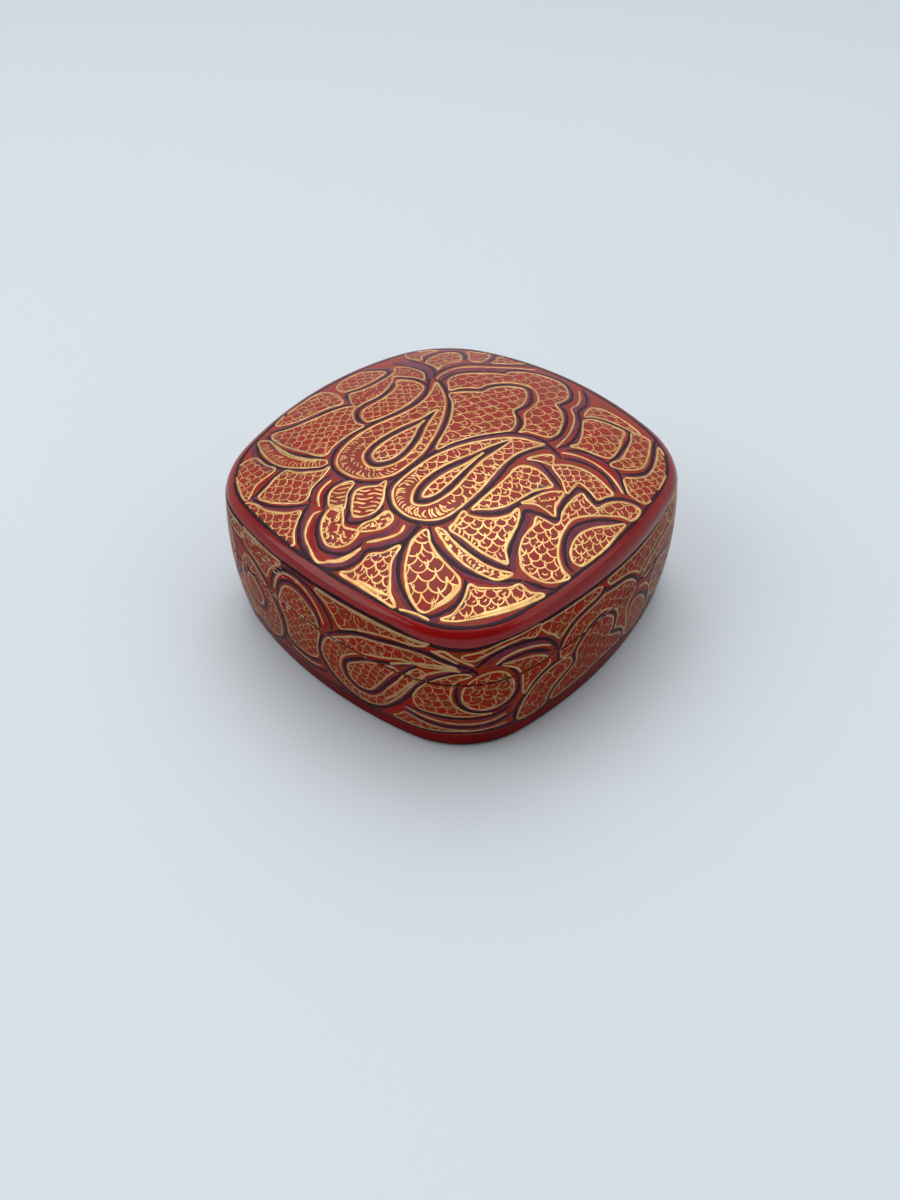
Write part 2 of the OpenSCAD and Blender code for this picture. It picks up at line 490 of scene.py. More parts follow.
lid_red = paint("lid_red", (0.39, 0.028, 0.020), (0.32, 0.044, 0.024), patch=190, shine=0.16)
band_red = paint("band_red", (0.30, 0.004, 0.004), (0.25, 0.003, 0.004), patch=60, gloss=0.09,
                 shine=0.38)

DOME, BAND, SIDE_WALL, LINING = range(4)
high_cut = SEAM_Z + SEAM_GAP
lid_rings = []
x, y, nx, ny = plan_at(AROUND)
for share in np.linspace(0.02, 1, 26):
    ring = on_dome(share * (x - SHOULDER_IN * nx), share * (y - SHOULDER_IN * ny), -COAT)
    lid_rings.append((ring, DOME if share < 1 else BAND, 0))

rim = rim_at(AROUND)
band_foot = [
    (-110, 41), (-96, 41.6), (-75, 42.5), (-60, 42.9), (-48, 43.3), (-38, 43.3), (-28, 43),
    (-20, 42.5), (-14, 41.9), (-10, 41.2), (-6, 40.5), (0, 40.3), (4, 40.8), (10, 41.4), (18, 41.8),
    (30, 41.9), (42, 41.7), (52, 41.1), (62, 40.9), (75, 40.8), (82, 41), (96, 41.6), (110, 42),
]
hand_u, hand_z = flowing(band_foot, 1.0).T


def band_line(s):
    """Height of the line that a hand drew round below the red band"""
    u = np.mod(s - NEAR + ROUND / 4, ROUND / 2) - ROUND / 4
    return np.interp(u, hand_u, hand_z)


drawn = band_line(AROUND)
# Painted sheen: below the band at the left the lid's wall is paled, as where light glances off it
round_from_sheen = np.mod(AROUND - NEAR + ROUND / 2, ROUND) - ROUND / 2 - SHEEN_AT
left_sheen = np.exp(-(round_from_sheen / SHEEN_ROUND) ** 2)
for a in np.linspace(SHOULDER_A, 0, 8)[1:]:
    share = math.sin(a) / math.sin(SHOULDER_A)
    height = drawn + (rim + SHOULDER_DROP - drawn) * share
    wear_and_light = 0.3 + 0.5 * left_sheen * (a < 0.5)
    lid_rings.append((on_wall(AROUND, height, -COAT), BAND if a > 0 else SIDE_WALL, wear_and_light))
for share in np.linspace(1, 0, 10)[1:-1]:
    height = high_cut + 0.5 + (drawn - high_cut - 0.5) * share
    wear_and_light = 1.6 * left_sheen * max(0, share - 0.35)
    lid_rings.append((on_wall(AROUND, height, -COAT), SIDE_WALL, wear_and_light))
lid_rings += [
    (on_wall(AROUND, high_cut + 0.5, -COAT), SIDE_WALL, 0.5),
    (on_wall(AROUND, high_cut + 0.2, -COAT), SIDE_WALL, 1),
    (on_wall(AROUND, high_cut + 0.07, -COAT - 0.08), LINING, 1),
    (on_wall(AROUND, high_cut, -COAT - 0.25), LINING, 0.5),
    (ring_in(-LID_T + 0.3, high_cut), LINING, 0.8),
    (ring_in(-LID_T, high_cut + 0.3), LINING, 0),
]
inner_r = SHOULDER_R - LID_T
for a in np.linspace(0, SHOULDER_A, 6):
    ring = ring_in(inner_r * math.cos(a) - SHOULDER_R, rim + inner_r * math.sin(a))
    lid_rings.append((ring, LINING, 0))
d = inner_r * math.cos(SHOULDER_A) - SHOULDER_R
for share in np.linspace(1, 0.02, 16)[1:]:
    ring = on_dome(share * (x + d * nx), share * (y + d * ny), -LID_T)
    lid_rings.append((ring, LINING, 0))
crown, ceiling = (0, 0, BOX_H - COAT), (0, 0, BOX_H - LID_T)
lid_ground = shell("lid_ground", lid_rings, (lid_red, band_red, wall_red, black_lacquer),
                   (crown, ceiling))
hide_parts("lid_shell")
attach(lid_ground, "lid")

# The painting on the top of the lid: leaves, two large paisleys and clouds. The painter
# draws dark contours with a loaded brush, then gold outlines and gold fish scales with a
# fine one. The lines stand a little proud, so each is a thin raised bead of paint.
GOLD_LINE, GOLD_FINE, DARK_LINE = 0.78, 0.44, 1.3
# How far each coat stands above the ground colour, and how deep all of them are bedded in it
WASH_UP, RED_UP, MAUVE_UP, DARK_UP, FILL_UP, GOLD_UP = 0.008, 0.014, 0.02, 0.028, 0.04, 0.05
BEDDED = 0.014
EDGE_IN = 0.5


def within(outline):
    """A test of which points lie inside an outline"""
    a, b = outline, np.roll(outline, -1, 0)

    def inside(p):
        x, y = p[:, :1], p[:, 1:]
        spans = (a[:, 1] > y) != (b[:, 1] > y)
        slope = (b[:, 0] - a[:, 0]) / (b[:, 1] - a[:, 1] + 1e-9)
        return (spans & (x < a[:, 0] + slope * (y - a[:, 1]))).sum(1) % 2 == 1
    return inside


def kept(line, keep):
    """The stretches of a line where keep is true, cut exactly where it stops"""
    inside = keep(line)
    stretches, run = [], []
    for i, p in enumerate(line):
        if i and inside[i] != inside[i - 1]:
            a, b = line[i - 1], p
            for _ in range(5):
                m = (a + b) / 2
                if keep(m[None])[0] == inside[i - 1]:
                    a = m
                else:
                    b = m
            run.append((a + b) / 2)
            if not inside[i]:
                stretches.append(np.array(run))
                run = []
        if inside[i]:
            run.append(p)
    stretches.append(np.array(run))
    return [s for s in stretches if len(s) > 1 and np.hypot(*np.diff(s, axis=0).T).sum() > 0.5]


def leftward(line):
    """The direction to the left of a line, at each of its points"""
    way = np.gradient(line, axis=0)
    way /= np.hypot(*way.T)[:, None] + 1e-9
    return np.stack([-way[:, 1], way[:, 0]], 1)


def beside(line, gap):
    """The same line, moved sideways by gap"""
    return line + gap * leftward(line)


def length_along(line):
    """How far along the line each of its points is"""
    return np.concatenate([[0], np.cumsum(np.hypot(*np.diff(line, axis=0).T))])


def turned_frame(outline, turn):
    """How far an outline reaches from its middle, and what lays a stroke there, turned"""
    middle = (outline.max(0) + outline.min(0)) / 2
    reach = np.hypot(*(outline - middle).T).max()
    c, s = math.cos(math.radians(turn)), math.sin(math.radians(turn))

    def placed(line):
        return line @ np.array([[c, s], [-s, c]]) + middle
    return reach, placed


def scales(outline, size, turn, hand):
    """Rows of fish scales inside an outline, each a small cup that hangs from two above"""
    reach, placed = turned_frame(outline, turn)
    row = size * 0.62
    lines = []
    for j in range(-int(reach / row) - 1, int(reach / row) + 2):
        for i in range(-int(reach / size) - 1, int(reach / size) + 2):
            x = (i + 0.5 * (j % 2)) * size + hand.uniform(-0.1, 0.1) * size
            y = j * row + hand.uniform(-0.1, 0.1) * size
            wide, deep = size * hand.uniform(0.45, 0.58), row * hand.uniform(0.9, 1.35)
            tilt = hand.uniform(-0.22, 0.22)
            a = np.linspace(-0.15 + tilt, math.pi + 0.15 + tilt, 13)
            cup = np.stack([x + wide * np.cos(a), y - deep * np.sin(a)], 1)
            lines.append((placed(cup), GOLD_FINE))
            if size > 3 and hand.random() < 0.4:
                a = np.linspace(0.2, hand.uniform(1.6, 2.8), 7) + hand.choice((0, 1.4, -1))
                dab = np.stack([x + 0.4 * wide * np.cos(a), y - 0.42 * deep * np.sin(a)], 1)
                lines.append((placed(dab), GOLD_FINE * 0.95))
    return lines


def hooks(outline, gap, turn, hand):
    """Small curled dabs, close together, that fill the narrow leaves"""
    low, high = outline.min(0), outline.max(0)
    lines = []
    for y in np.arange(low[1], high[1] + gap, gap * 0.8):
        for x in np.arange(low[0], high[0] + gap, gap):
            astray = hand.uniform(-0.3, 0.3) * gap, hand.uniform(-0.3, 0.3) * gap
            at = np.array([x + astray[0], y + astray[1]])
            lean = math.radians(turn + hand.uniform(-50, 50))
            a = np.linspace(0, hand.uniform(2.4, 4.2), 8) * hand.choice((-1, 1)) + lean
            r = gap * hand.uniform(0.32, 0.44)
            lines.append((at + r * np.stack([np.cos(a), np.sin(a)], 1), GOLD_FINE))
    return lines


def bold(outline, gap, turn, hand):
    """The same dabs with a fuller brush"""
    return [(line, 1.6 * width) for line, width in hooks(outline, gap, turn, hand)]


def waves(outline, gap, turn, hand):
    """Wavy strokes side by side along a leaf, broken where the brush is lifted"""
    reach, placed = turned_frame(outline, turn)
    lines = []
    for y in np.arange(-reach, reach, gap):
        x = -reach + hand.uniform(0, 2)
        while x < reach:
            run = np.linspace(x, x + hand.uniform(3, 6), 14)
            phase = hand.uniform(-0.5, 0.5)
            wave = np.stack([run, y + 0.3 * np.sin(run * 1.25 + phase)], 1)
            lines.append((placed(wave), GOLD_FINE * hand.uniform(1.2, 1.6)))
            x = run[-1] + hand.uniform(0.6, 1.0)
    return lines


FILLS = {"scales": scales, "hooks": hooks, "bold": bold, "waves": waves}


def combed(guide, reach, gap, hand):
    """Short curved dabs side by side, from a guide line across to reach beside it"""
    line = flowing(guide, 0.25)
    other = beside(line, reach)
    step = length_along(line)
    dabs, at = [], gap / 2
    while at < step[-1]:
        to = at + abs(reach) * hand.uniform(0.1, 0.9)
        a = np.array([np.interp(at, step, line[:, k]) for k in (0, 1)])
        b = np.array([np.interp(to, step, other[:, k]) for k in (0, 1)])
        b = a + (b - a) * hand.uniform(0.6, 1.1)
        bow = np.array([a[1] - b[1], b[0] - a[0]]) * hand.uniform(0.12, 0.4)
        dab = flowing([a, (a + b) / 2 + bow, b], 0.5)
        dabs.append((dab, GOLD_FINE * hand.uniform(0.9, 1.35)))
        at += gap * hand.uniform(0.85, 1.2)
    return dabs


def full(at):
    """The brush is fullest over the near left of the lid"""
    return 0.68 + 0.58 * math.exp(-math.dist(at, (-24, -24)) ** 2 / 1000)


def leaf(hand, outline, fill=None, size=0, turn=0, holes=()):
    """Gold strokes of one leaf: its outline and its fill, kept off the holes in it"""
    edge = flowing(outline, 0.5, ring=True)
    strokes = [(edge, GOLD_LINE * (0.55 + 0.45 * full(edge.mean(0))))]
    inside = within(edge)
    gaps = [within(flowing(hole, 0.5, ring=True)) for hole in holes]

    def painted_here(p):
        return inside(p) & ~np.any([gap(p) for gap in gaps], axis=0) if gaps else inside(p)

    for stroke, width in FILLS[fill](edge, size, turn, hand) if fill else ():
        width *= full(stroke[0]) * hand.uniform(0.8, 1.2)
        strokes += [(run, width) for run in kept(stroke, painted_here)]
    return strokes


def drawn_through(lines):
    """Strokes through the points of each line, with the width that is listed beside it"""
    return [(flowing(line), width) for line, width in lines]


def widened(strokes, times):
    """The same strokes so many times as wide"""
    return [(line, times * width) for line, width in strokes]


def beads(strokes, height, foot, hand, fine):
    """Each stroke as a raised bead that swells and tapers: points (u, v, lift) and faces"""
    tip = 0.3
    spread = np.array([-1, 0, 1] if fine else [-1, -0.8, 0, 0.8, 1])
    rise = np.array([0, 1, 0] if fine else [0, 0.9, 1, 0.9, 0])
    columns = len(spread)
    points, faces, total = [], [], 0
    for line, width in strokes:
        n = len(line)
        if n < 2:
            continue
        along = length_along(line)
        phase = hand.uniform(0, 6.28)
        swell = 1 + 0.12 * np.sin(along * 0.4 + phase) + 0.08 * np.sin(along * 1.7 + 2 * phase)
        ends = np.minimum(along, along[-1] - along)
        closed = math.dist(line[0], line[-1]) < 0.05
        point = 3 if width > 1 else 1.2
        taper = 1 if closed else np.clip(tip + (1 - tip) * ends / (point * width), 0, 1) ** 0.7
        half = 0.5 * width * swell * taper
        across = line[:, None] + leftward(line)[:, None] * (half[:, None] * spread)[..., None]
        lift = foot + (height - foot) * rise * np.ones((n, 1))
        if not closed:
            lift[[0, -1]] = foot
        points.append(np.concatenate([across, lift[..., None]], 2).reshape(-1, 3))
        grid = total + np.arange(n * columns).reshape(n, columns)
        quads = grid[:-1, :-1], grid[:-1, 1:], grid[1:, 1:], grid[1:, :-1]
        faces.append(np.stack(quads, -1).reshape(-1, 4))
        total += n * columns
    return np.concatenate(points), np.concatenate(faces)


def painted(name, strokes, surface, up, finish, body, slot, hand, fine):
    """One coat of strokes laid on a surface of the box, as a piece that rides on a body"""
    points, faces = beads(strokes, -COAT + up, -COAT - BEDDED, hand, fine)
    mesh = bpy.data.meshes.new(name)
    places = surface(points[:, 0], points[:, 1], points[:, 2])
    mesh.from_pydata((places * MM).tolist(), [], faces.tolist())
    mesh.materials.append(finish)
    mesh.shade_smooth()
    piece = in_scene(name, mesh)
    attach(piece, body)


gold_paint = paint("gold_paint", (0.74, 0.45, 0.19), (0.60, 0.34, 0.12), patch=420, gloss=0.32,
                   metal=1.0, varnish=0.1, shine=0.3)
dark_paint = paint("dark_paint", (0.032, 0.010, 0.016), (0.052, 0.015, 0.024), patch=300,
                   gloss=0.16)
mauve_paint = paint("mauve_paint", (0.23, 0.045, 0.080), (0.16, 0.032, 0.055), patch=200,
                    gloss=0.14)
red_paint = paint("red_paint", (0.40, 0.010, 0.008), (0.30, 0.010, 0.010), patch=300, gloss=0.1)
brown_wash = paint("brown_wash", (0.30, 0.075, 0.022), (0.36, 0.060, 0.020), patch=420, gloss=0.12)

# x, y on the lid in mm. Upper paisley with its ring and its drop, then the lower one.
upper_paisley = [
    (21.5, 25.5), (17.5, 23.2), (13, 21.2), (8, 20.2), (3, 20.4), (-2, 21.5), (-7, 22.9),
    (-13.4, 23.7), (-18, 23.4), (-22, 22.3), (-24.9, 20.4), (-26.4, 18), (-26.9, 14), (-26.4, 10.7),
    (-24.9, 7.7), (-22.8, 5.4), (-19.6, 3.5), (-14.8, 3), (-8.3, 3.4), (-3.6, 5), (-0.5, 6.1),
    (4.7, 8.6), (9.5, 11.6), (14.3, 15.3), (17.4, 18.8), (19.6, 22),
]
upper_ring = [
    (9.5, 14.1), (3, 14.8), (0.3, 15.5), (-3.8, 16.6), (-9.7, 17.5), (-15.4, 17.4), (-19.5, 15.7),
    (-21.5, 11.8), (-20.6, 8.8), (-17, 6.3), (-12.4, 5.7), (-6.6, 6.9), (-2.3, 8.6), (0.6, 10.2),
    (4.4, 11.8),
]
upper_drop = [
    (3, 13.2), (-0.2, 13.1), (-4.4, 14), (-9.8, 14.9), (-14.8, 14.8), (-17.5, 13.8), (-18.6, 11.5),
    (-18.1, 10.2), (-15.9, 8.6), (-12.2, 8.3), (-7.4, 9.3), (-3.4, 10.9), (-0.6, 12.3),
]
lower_paisley = [
    (17.7, -18.7), (16.7, -16.9), (15.1, -13), (12, -9.5), (8.1, -6.7), (3, -3.9), (-2, -1.8),
    (-8, -0.1), (-14, 0.4), (-20, 0.4), (-23.7, -0.3), (-26, -2.1), (-27.9, -4.9), (-28.6, -9.1),
    (-28, -12), (-26.2, -15.1), (-23.2, -17.4), (-17.9, -18.3), (-9.8, -18.1), (-2.8, -17),
    (3, -16.1), (8, -16), (13, -17.1),
]
lower_ring = [
    (12.6, -11.2), (5.2, -8.4), (0.3, -7.3), (-3.5, -6.1), (-8.5, -4.7), (-13.7, -4),
    (-18.7, -4.3), (-22.2, -5.6), (-24.6, -8), (-23.3, -10.8), (-20.2, -12.4), (-14.8, -13.1),
    (-9.3, -12.5), (-5, -11.8), (0, -11.3), (5.5, -11.5),
]
lower_drop = [
    (2.5, -9.3), (-1, -9), (-4, -8.8), (-8.8, -7.7), (-13.7, -7), (-18.3, -7.2), (-21.1, -8.4),
    (-18.7, -10.2), (-13.7, -10.4), (-7, -9.8), (-2, -9.5),
]
# Each leaf: outline, then kind of fill, its size and turn, and the holes in it
top_leaves = [
    (upper_paisley, "scales", 3.9, 8, (upper_ring, [(-15, 1), (-18, 6), (-21, 11.8), (-18, 17),
     (-15.5, 26), (-30, 26), (-31, 1)])),
    (upper_ring,),
    (upper_drop, "scales", 3.0, 10),
    (lower_paisley, "scales", 3.9, -5, (lower_ring, [(-17, 2), (-19, -4.5), (-24, -8.5), (-19, -12),
     (-17, -20), (-31, -20), (-32, 2)])),
    (lower_ring,),
    (lower_drop, "scales", 2.9, 5),
    # corner over the far left
    ([(-48.5, 31.8), (-45, 40), (-40, 45.5), (-35.5, 44), (-36, 38), (-36, 34), (-43, 34)],
     "scales", 3.2, 30),
    ([(-46, 29.5), (-42, 30.2), (-38, 31), (-34.7, 30.3), (-34.1, 27.4), (-32.2, 24.2),
     (-29.5, 21.1), (-27.5, 20.5), (-31.3, 19.3), (-36.2, 18.6), (-39, 16.9), (-41, 16.8),
     (-43.1, 19.5), (-44.8, 22.8), (-45.9, 26.3)], "scales", 3.2, -15),
    ([(-29.5, 49), (-31.8, 45.3), (-33.4, 41.1), (-34.3, 36.2), (-34.1, 32.8), (-32.5, 28.4),
     (-30.4, 24.9), (-28.5, 22.6), (-27, 22.2), (-26.2, 23.2), (-26.7, 24.9), (-28.1, 27.7),
     (-29.2, 31.8), (-29.7, 36.9), (-29, 41.8), (-27.9, 46)],),
    ([(-26.4, 46.4), (-27.4, 41.8), (-27.4, 36.5), (-26.5, 31.3), (-25, 25.5), (-20, 26.3),
     (-14, 26.3), (-9.1, 25.8), (-9.3, 28.5), (-8, 31), (-5.5, 34), (-3.3, 35.3), (-4.5, 37.5),
     (-8.5, 39.7), (-13.5, 41.5), (-20, 44.2), (-25, 47.5)], "scales", 3.3, 80),
    ([(-21.5, 50.5), (-18, 46.3), (-12.8, 44.2), (-7.4, 42.3), (-3.8, 40.4), (-1.6, 43.5),
     (-0.6, 47), (-2, 52), (-10, 52.6), (-18, 52)], "scales", 3.3, 20),
    ([(1.5, 45.5), (5, 43.5), (10, 42.7), (16, 43), (18, 44), (16.5, 47.5), (14, 50.5), (8, 51.5),
     (3, 50), (1.5, 47)], "scales", 3.2, 0),
    ([(-3, 35), (0, 34.7), (5, 34), (10, 35), (14, 37), (17, 39), (19, 35.5), (20.3, 32),
     (20.4, 29.7), (22.5, 31.2), (24.3, 34), (24.6, 37.5), (24.3, 41), (22, 43.5), (20, 41.5),
     (16, 40.3), (10, 40), (5, 40.8), (1.5, 42.3)], "hooks", 2.1, 30),
    ([(-7, 26.5), (-6, 29.5), (-3, 31.8), (2, 31.5), (8, 31.8), (12, 33), (15.5, 36), (17.5, 33),
     (17.8, 29), (16.5, 26), (12, 24), (6, 23), (0, 23.5), (-5, 25)], "scales", 3.2, 0),
    # far left and the trefoil
    ([(-50.5, 30), (-51.8, 24), (-52.6, 18), (-53, 12), (-52.7, 7.9), (-49.9, 10.9), (-46.8, 13),
     (-43.6, 14.9), (-45.7, 17.2), (-47.3, 20.4), (-48.3, 24), (-48.2, 27.4), (-49, 31)], "scales",
     3.0, -10),
    ([(-39, 8.5), (-43, 7.2), (-46.5, 3.5), (-47.6, 0), (-46, -3), (-43.6, -4), (-40, -3.2),
     (-41, 1), (-39, 3.5), (-36.5, 7)], "bold", 1.75, 50),
    ([(-38.3, 8.9), (-37, 11), (-34.1, 13), (-31, 12.7), (-28.3, 10.9), (-28.5, 10), (-32, 8.8),
     (-35, 6.5), (-37, 5.5)], "waves", 1.5, 125),
    ([(-37, 1.3), (-34, 5), (-30.2, 7.4), (-27.8, 6.3), (-25.3, 3.8), (-22.9, 3.5), (-25.5, 1.5),
     (-28, -0.5), (-31.5, -2), (-34.5, -1.5)], "waves", 1.5, 128),
    ([(-39.9, -2.8), (-38.3, -5.3), (-36.2, -7.2), (-33.4, -8), (-31.3, -7.2), (-30.6, -4.6),
     (-34.5, -3.8), (-37.5, -2.5)], "bold", 1.6, -15),
    ([(-51.7, -8.4), (-50, -10.3), (-47, -10.9), (-43.4, -10.7), (-41.1, -13), (-36.9, -14.9),
     (-41.5, -16.5), (-45.5, -19.7), (-48.7, -22.8), (-49.9, -25.3), (-50.6, -26), (-51.2, -20),
     (-51.5, -14)], "scales", 3.1, -60),
    ([(-28.8, -16.8), (-33.4, -16.3), (-36.9, -17.9), (-41.1, -20.7), (-44.6, -24.6),
     (-46.6, -28.1), (-47.3, -32.3), (-43.9, -33.9), (-40.4, -34.8), (-36.2, -34.3), (-34.6, -32.7),
     (-33.7, -28.1), (-32.9, -23.9), (-31.3, -20.2)], "scales", 4.4, -40),
    ([(-26.9, -18.3), (-28.5, -21.8), (-29.9, -26), (-30.6, -30.9), (-30, -36.2), (-28.6, -39.9),
     (-26, -41.3), (-24.7, -41.5), (-26, -39), (-27.1, -36.2), (-27.6, -32.3), (-27.6, -28.1),
     (-27.1, -23.9), (-26.2, -20)], "bold", 1.5, 0),
    ([(-24.8, -21.1), (-22, -20.7), (-19.3, -19.9), (-18, -20), (-18.3, -21.8), (-16.7, -25),
     (-14.1, -27.8), (-10.7, -29.5), (-7.7, -29.5), (-8.4, -30.6), (-12, -32.7), (-16.5, -34.1),
     (-20, -35.5), (-23.4, -38.8), (-24.1, -36.6), (-25, -31.6), (-24.8, -26)], "scales", 3.3, -40),
    ([(-16.3, -21.2), (-13, -20.8), (-6, -20.6), (0, -20.2), (3, -19.7), (5.6, -20.2), (7.2, -22.5),
     (7.4, -26), (6.2, -29.5), (5.6, -30.8), (3, -29.8), (0, -28.5), (-5.3, -27.6), (-9, -26.8),
     (-12.5, -24.8), (-15.3, -22)], "scales", 3.3, -15),
    ([(-5.5, -29), (-3.3, -31.6), (-2.8, -35.1), (-2.8, -37.8), (0, -36), (3, -35.2), (5.8, -34.3),
     (3.7, -32), (0, -30.4), (-3, -29.8)], "hooks", 2.0, 0),
    ([(-21.4, -41.7), (-22, -45.3), (-20.6, -49.2), (-17.9, -51.3), (-15.3, -52.2), (-14.9, -49.9),
     (-12.7, -46.7), (-9.1, -44.1), (-5.3, -42.5), (0, -41.7), (3.9, -43.6), (7.4, -46.4),
     (11, -49.9), (12.1, -52.2), (16.9, -51.7), (17.2, -49.9), (15.1, -46.4), (12, -44.6),
     (8.1, -43.6), (8.6, -40), (9.3, -37.8), (4.9, -37.6), (0, -38.5), (-3.3, -40.1), (-5, -39.8),
     (-5.8, -36.6), (-6.3, -34.8), (-9, -36), (-14.1, -36.6), (-18.3, -38.7), (-20.4, -40.8)],
     "scales", 3.5, -60),
    ([(-10.9, -50.3), (-9.5, -48.2), (-6, -46.4), (-2.1, -46), (2.1, -47.3), (6, -49.7),
     (9.5, -51.8), (5.3, -52.4), (0, -53), (-5.3, -52.9), (-10.5, -52)], "scales", 3.1, -60),
    ([(-45.9, -36.7), (-43.2, -38), (-38, -37.4), (-34.1, -35.9), (-33.7, -37.6), (-30.8, -41.1),
     (-27.8, -43.8), (-25.7, -44.8), (-25.8, -47.8), (-23.8, -50.8), (-29.9, -48.9), (-35.5, -46),
     (-41.1, -42.2), (-44.3, -39.4)], "scales", 3.2, -45),
    # right of the paisleys
    ([(9.1, -19.5), (12, -20.5), (14.5, -22), (15.5, -23.4), (13.5, -25), (12.1, -25.8),
     (10.8, -22.5)], "hooks", 1.9, 0),
    ([(12.1, -26), (15.5, -28.8), (17.4, -33), (17.6, -36.9), (16.9, -40.4), (15.8, -43.4),
     (13, -42.6), (10.9, -42), (11.8, -38.5), (12, -34.8), (8.5, -35), (6.3, -35.1), (9.1, -31.3),
     (11.2, -26.7)], "scales", 2.8, 10),
    ([(-4.8, 1.3), (5, 6), (10, 9), (15, 13), (18.6, 17.3), (21.4, 15.7), (24.3, 12.7), (26, 10.8),
     (30, 10.3), (34, 8), (36.3, 5), (36.5, 3), (34.5, 0.8), (31, -1.3), (27.5, -2.3), (24.3, -2.3),
     (21.4, -5.3), (18.6, -7.4), (15.8, -8.1), (12, -6), (7, -3), (0, 0)], "scales", 4.3, 30),
    ([(19.7, -14.1), (18.5, -11.5), (16.9, -10.5), (20, -9.8), (22.5, -8.1), (24.8, -6),
     (26.4, -5.4), (30, -5), (34, -4), (37, -1.5), (39.3, 2), (39, 5), (37.5, 8.3), (34.5, 11),
     (31, 12.8), (27.3, 13.3), (25.5, 15.5), (23, 17.7), (20.4, 18.9), (22, 20.6), (24.5, 23.2),
     (28.5, 24), (31.5, 22.8), (35, 19.7), (38.5, 16), (40.4, 13.6), (42.5, 13.8), (45.5, 11.5),
     (48, 8), (49.2, 4), (49.7, 0), (48.8, -3), (46, -6.3), (42.5, -8.3), (38.5, -8.4),
     (36.9, -8.3), (34.6, -12), (31.6, -14.8), (28.1, -16.7), (24.3, -18.1), (21.1, -17.4)],
     "scales", 4.5, 30),
    ([(22.7, -24.1), (25.5, -24.8), (30.2, -22.8), (33.4, -20.7), (36.6, -19), (39.4, -20.4),
     (41.1, -23.9), (41.8, -26.4), (42.2, -29.3), (38, -31.3), (33, -33.4), (28.1, -34.3),
     (26.5, -33), (25.3, -29.9), (24.3, -26.7)], "scales", 4.3, 20),
    ([(38.5, -17.9), (41.5, -16.5), (44.6, -16.2), (46.7, -18.6), (47.3, -23), (47, -28),
     (45.5, -33), (44.5, -31), (44, -28), (42.8, -23), (40.5, -19.3)], "scales", 3.5, 10),
    ([(25.5, -35.9), (30.2, -36.4), (35.1, -35.1), (40.1, -33.2), (44, -31.2), (45.5, -36),
     (42.2, -38.3), (36.9, -40.9), (32, -42.2), (28.1, -40.6), (25.1, -37.1)], "scales", 3.8, 30),
    ([(23.9, -41.8), (26.5, -43.5), (30.2, -45), (35, -44.3), (40.1, -42.2), (45, -39.7), (41, -45),
     (36.2, -47.8), (30.2, -49.7), (25, -51), (20.4, -51), (19.7, -46.4), (21.4, -43.9)], "scales",
     3.1, 30),
    # far corner
    ([(31.5, 41), (34, 43.2), (37.5, 43.6), (41.5, 42.8), (38, 46.5), (33, 49), (30.5, 46),
     (30.6, 43)], "hooks", 2.1, 0),
    ([(30.3, 37.8), (33.5, 39.3), (37, 39.8), (41, 39), (43.4, 36.8), (42.9, 34.6), (41, 32.4),
     (38.6, 30.6), (35, 32), (31, 32), (29, 31.3), (30.2, 34)], "scales", 3.3, 30),
    ([(44.6, 32), (46.8, 34.4), (48.6, 31), (50.2, 28.4), (46.2, 25.7), (42.8, 25.4), (41, 28.3)],
     "hooks", 2.0, 0),
    ([(44.2, 22.3), (46.8, 22.6), (50.5, 24), (52.2, 20), (52.8, 15), (49.3, 17.2), (46.2, 20)],
     "scales", 3, 0),
]
# Rows of dabs: at the round ends of the paisleys, across the long crescent, round the trefoil
top_combs = [
    ([(-17, 3.6), (-21.6, 4.8), (-24.2, 7.2), (-25.7, 10.6), (-26.1, 14), (-25.7, 17.6),
     (-23.8, 20.4), (-20, 22.4), (-16, 23.2)], -2.3, 1.3),
    ([(-19, 6.6), (-21.8, 8.2), (-23, 11), (-23.3, 14), (-22.6, 17.2), (-20, 19.4), (-16.5, 20.4)],
     -1.7, 1.4),
    ([(-18, -17.6), (-23, -16.7), (-25.8, -14.6), (-27.3, -11.8), (-27.9, -9), (-27.2, -5.2),
     (-25.5, -2.6), (-23.4, -1), (-17.5, -0.3)], -3.2, 1.25),
    ([(-16, -16.4), (-19.5, -15.6), (-22.4, -14.6)], -1.9, 1.4),
    ([(-31, 46.5), (-33, 41.1), (-33.9, 36.2), (-33.7, 32.8), (-32.2, 28.4), (-30.2, 25.2),
     (-28.4, 23)], 2.9, 1.15),
    ([(-13, -18), (-5, -16.8), (2, -15.6)], 1.6, 2.2),
]
top_gold_lines = [
    [(-40.6, 10), (-42.2, 11), (-45, 10.2), (-48.7, 7.7), (-51, 3.5), (-52.5, 0), (-52.6, -1.8),
     (-49.2, -5.3), (-46, -6.7), (-43.1, -7.5)],
    [(-39.8, 11.5), (-38.5, 13.5), (-36.2, 15.4), (-33.7, 16.1), (-30.9, 16.1)],
    [(-41.3, -7.4), (-38.5, -9.7), (-36.2, -11.2), (-33.7, -12.1), (-31.1, -11.3)],
    [(-50.4, -27), (-48.7, -31), (-47.8, -35)],
    [(18.3, -24.1), (20.4, -27.1), (21.8, -30.9), (22, -35.1), (21.1, -39.7), (18.3, -45.3)],
    [(19, -21.8), (22.1, -21.4), (27, -20.4), (32, -18.3), (35.9, -15.8), (38.7, -12.8),
     (42.2, -12.5), (45.7, -10.9), (50.3, -7.4)],
    [(22.9, 26.5), (25, 27.5), (29, 28), (33.5, 27.3), (37.5, 24.5), (41, 20.5), (44.5, 16.8),
     (48, 13.2), (51, 9.5)],
]
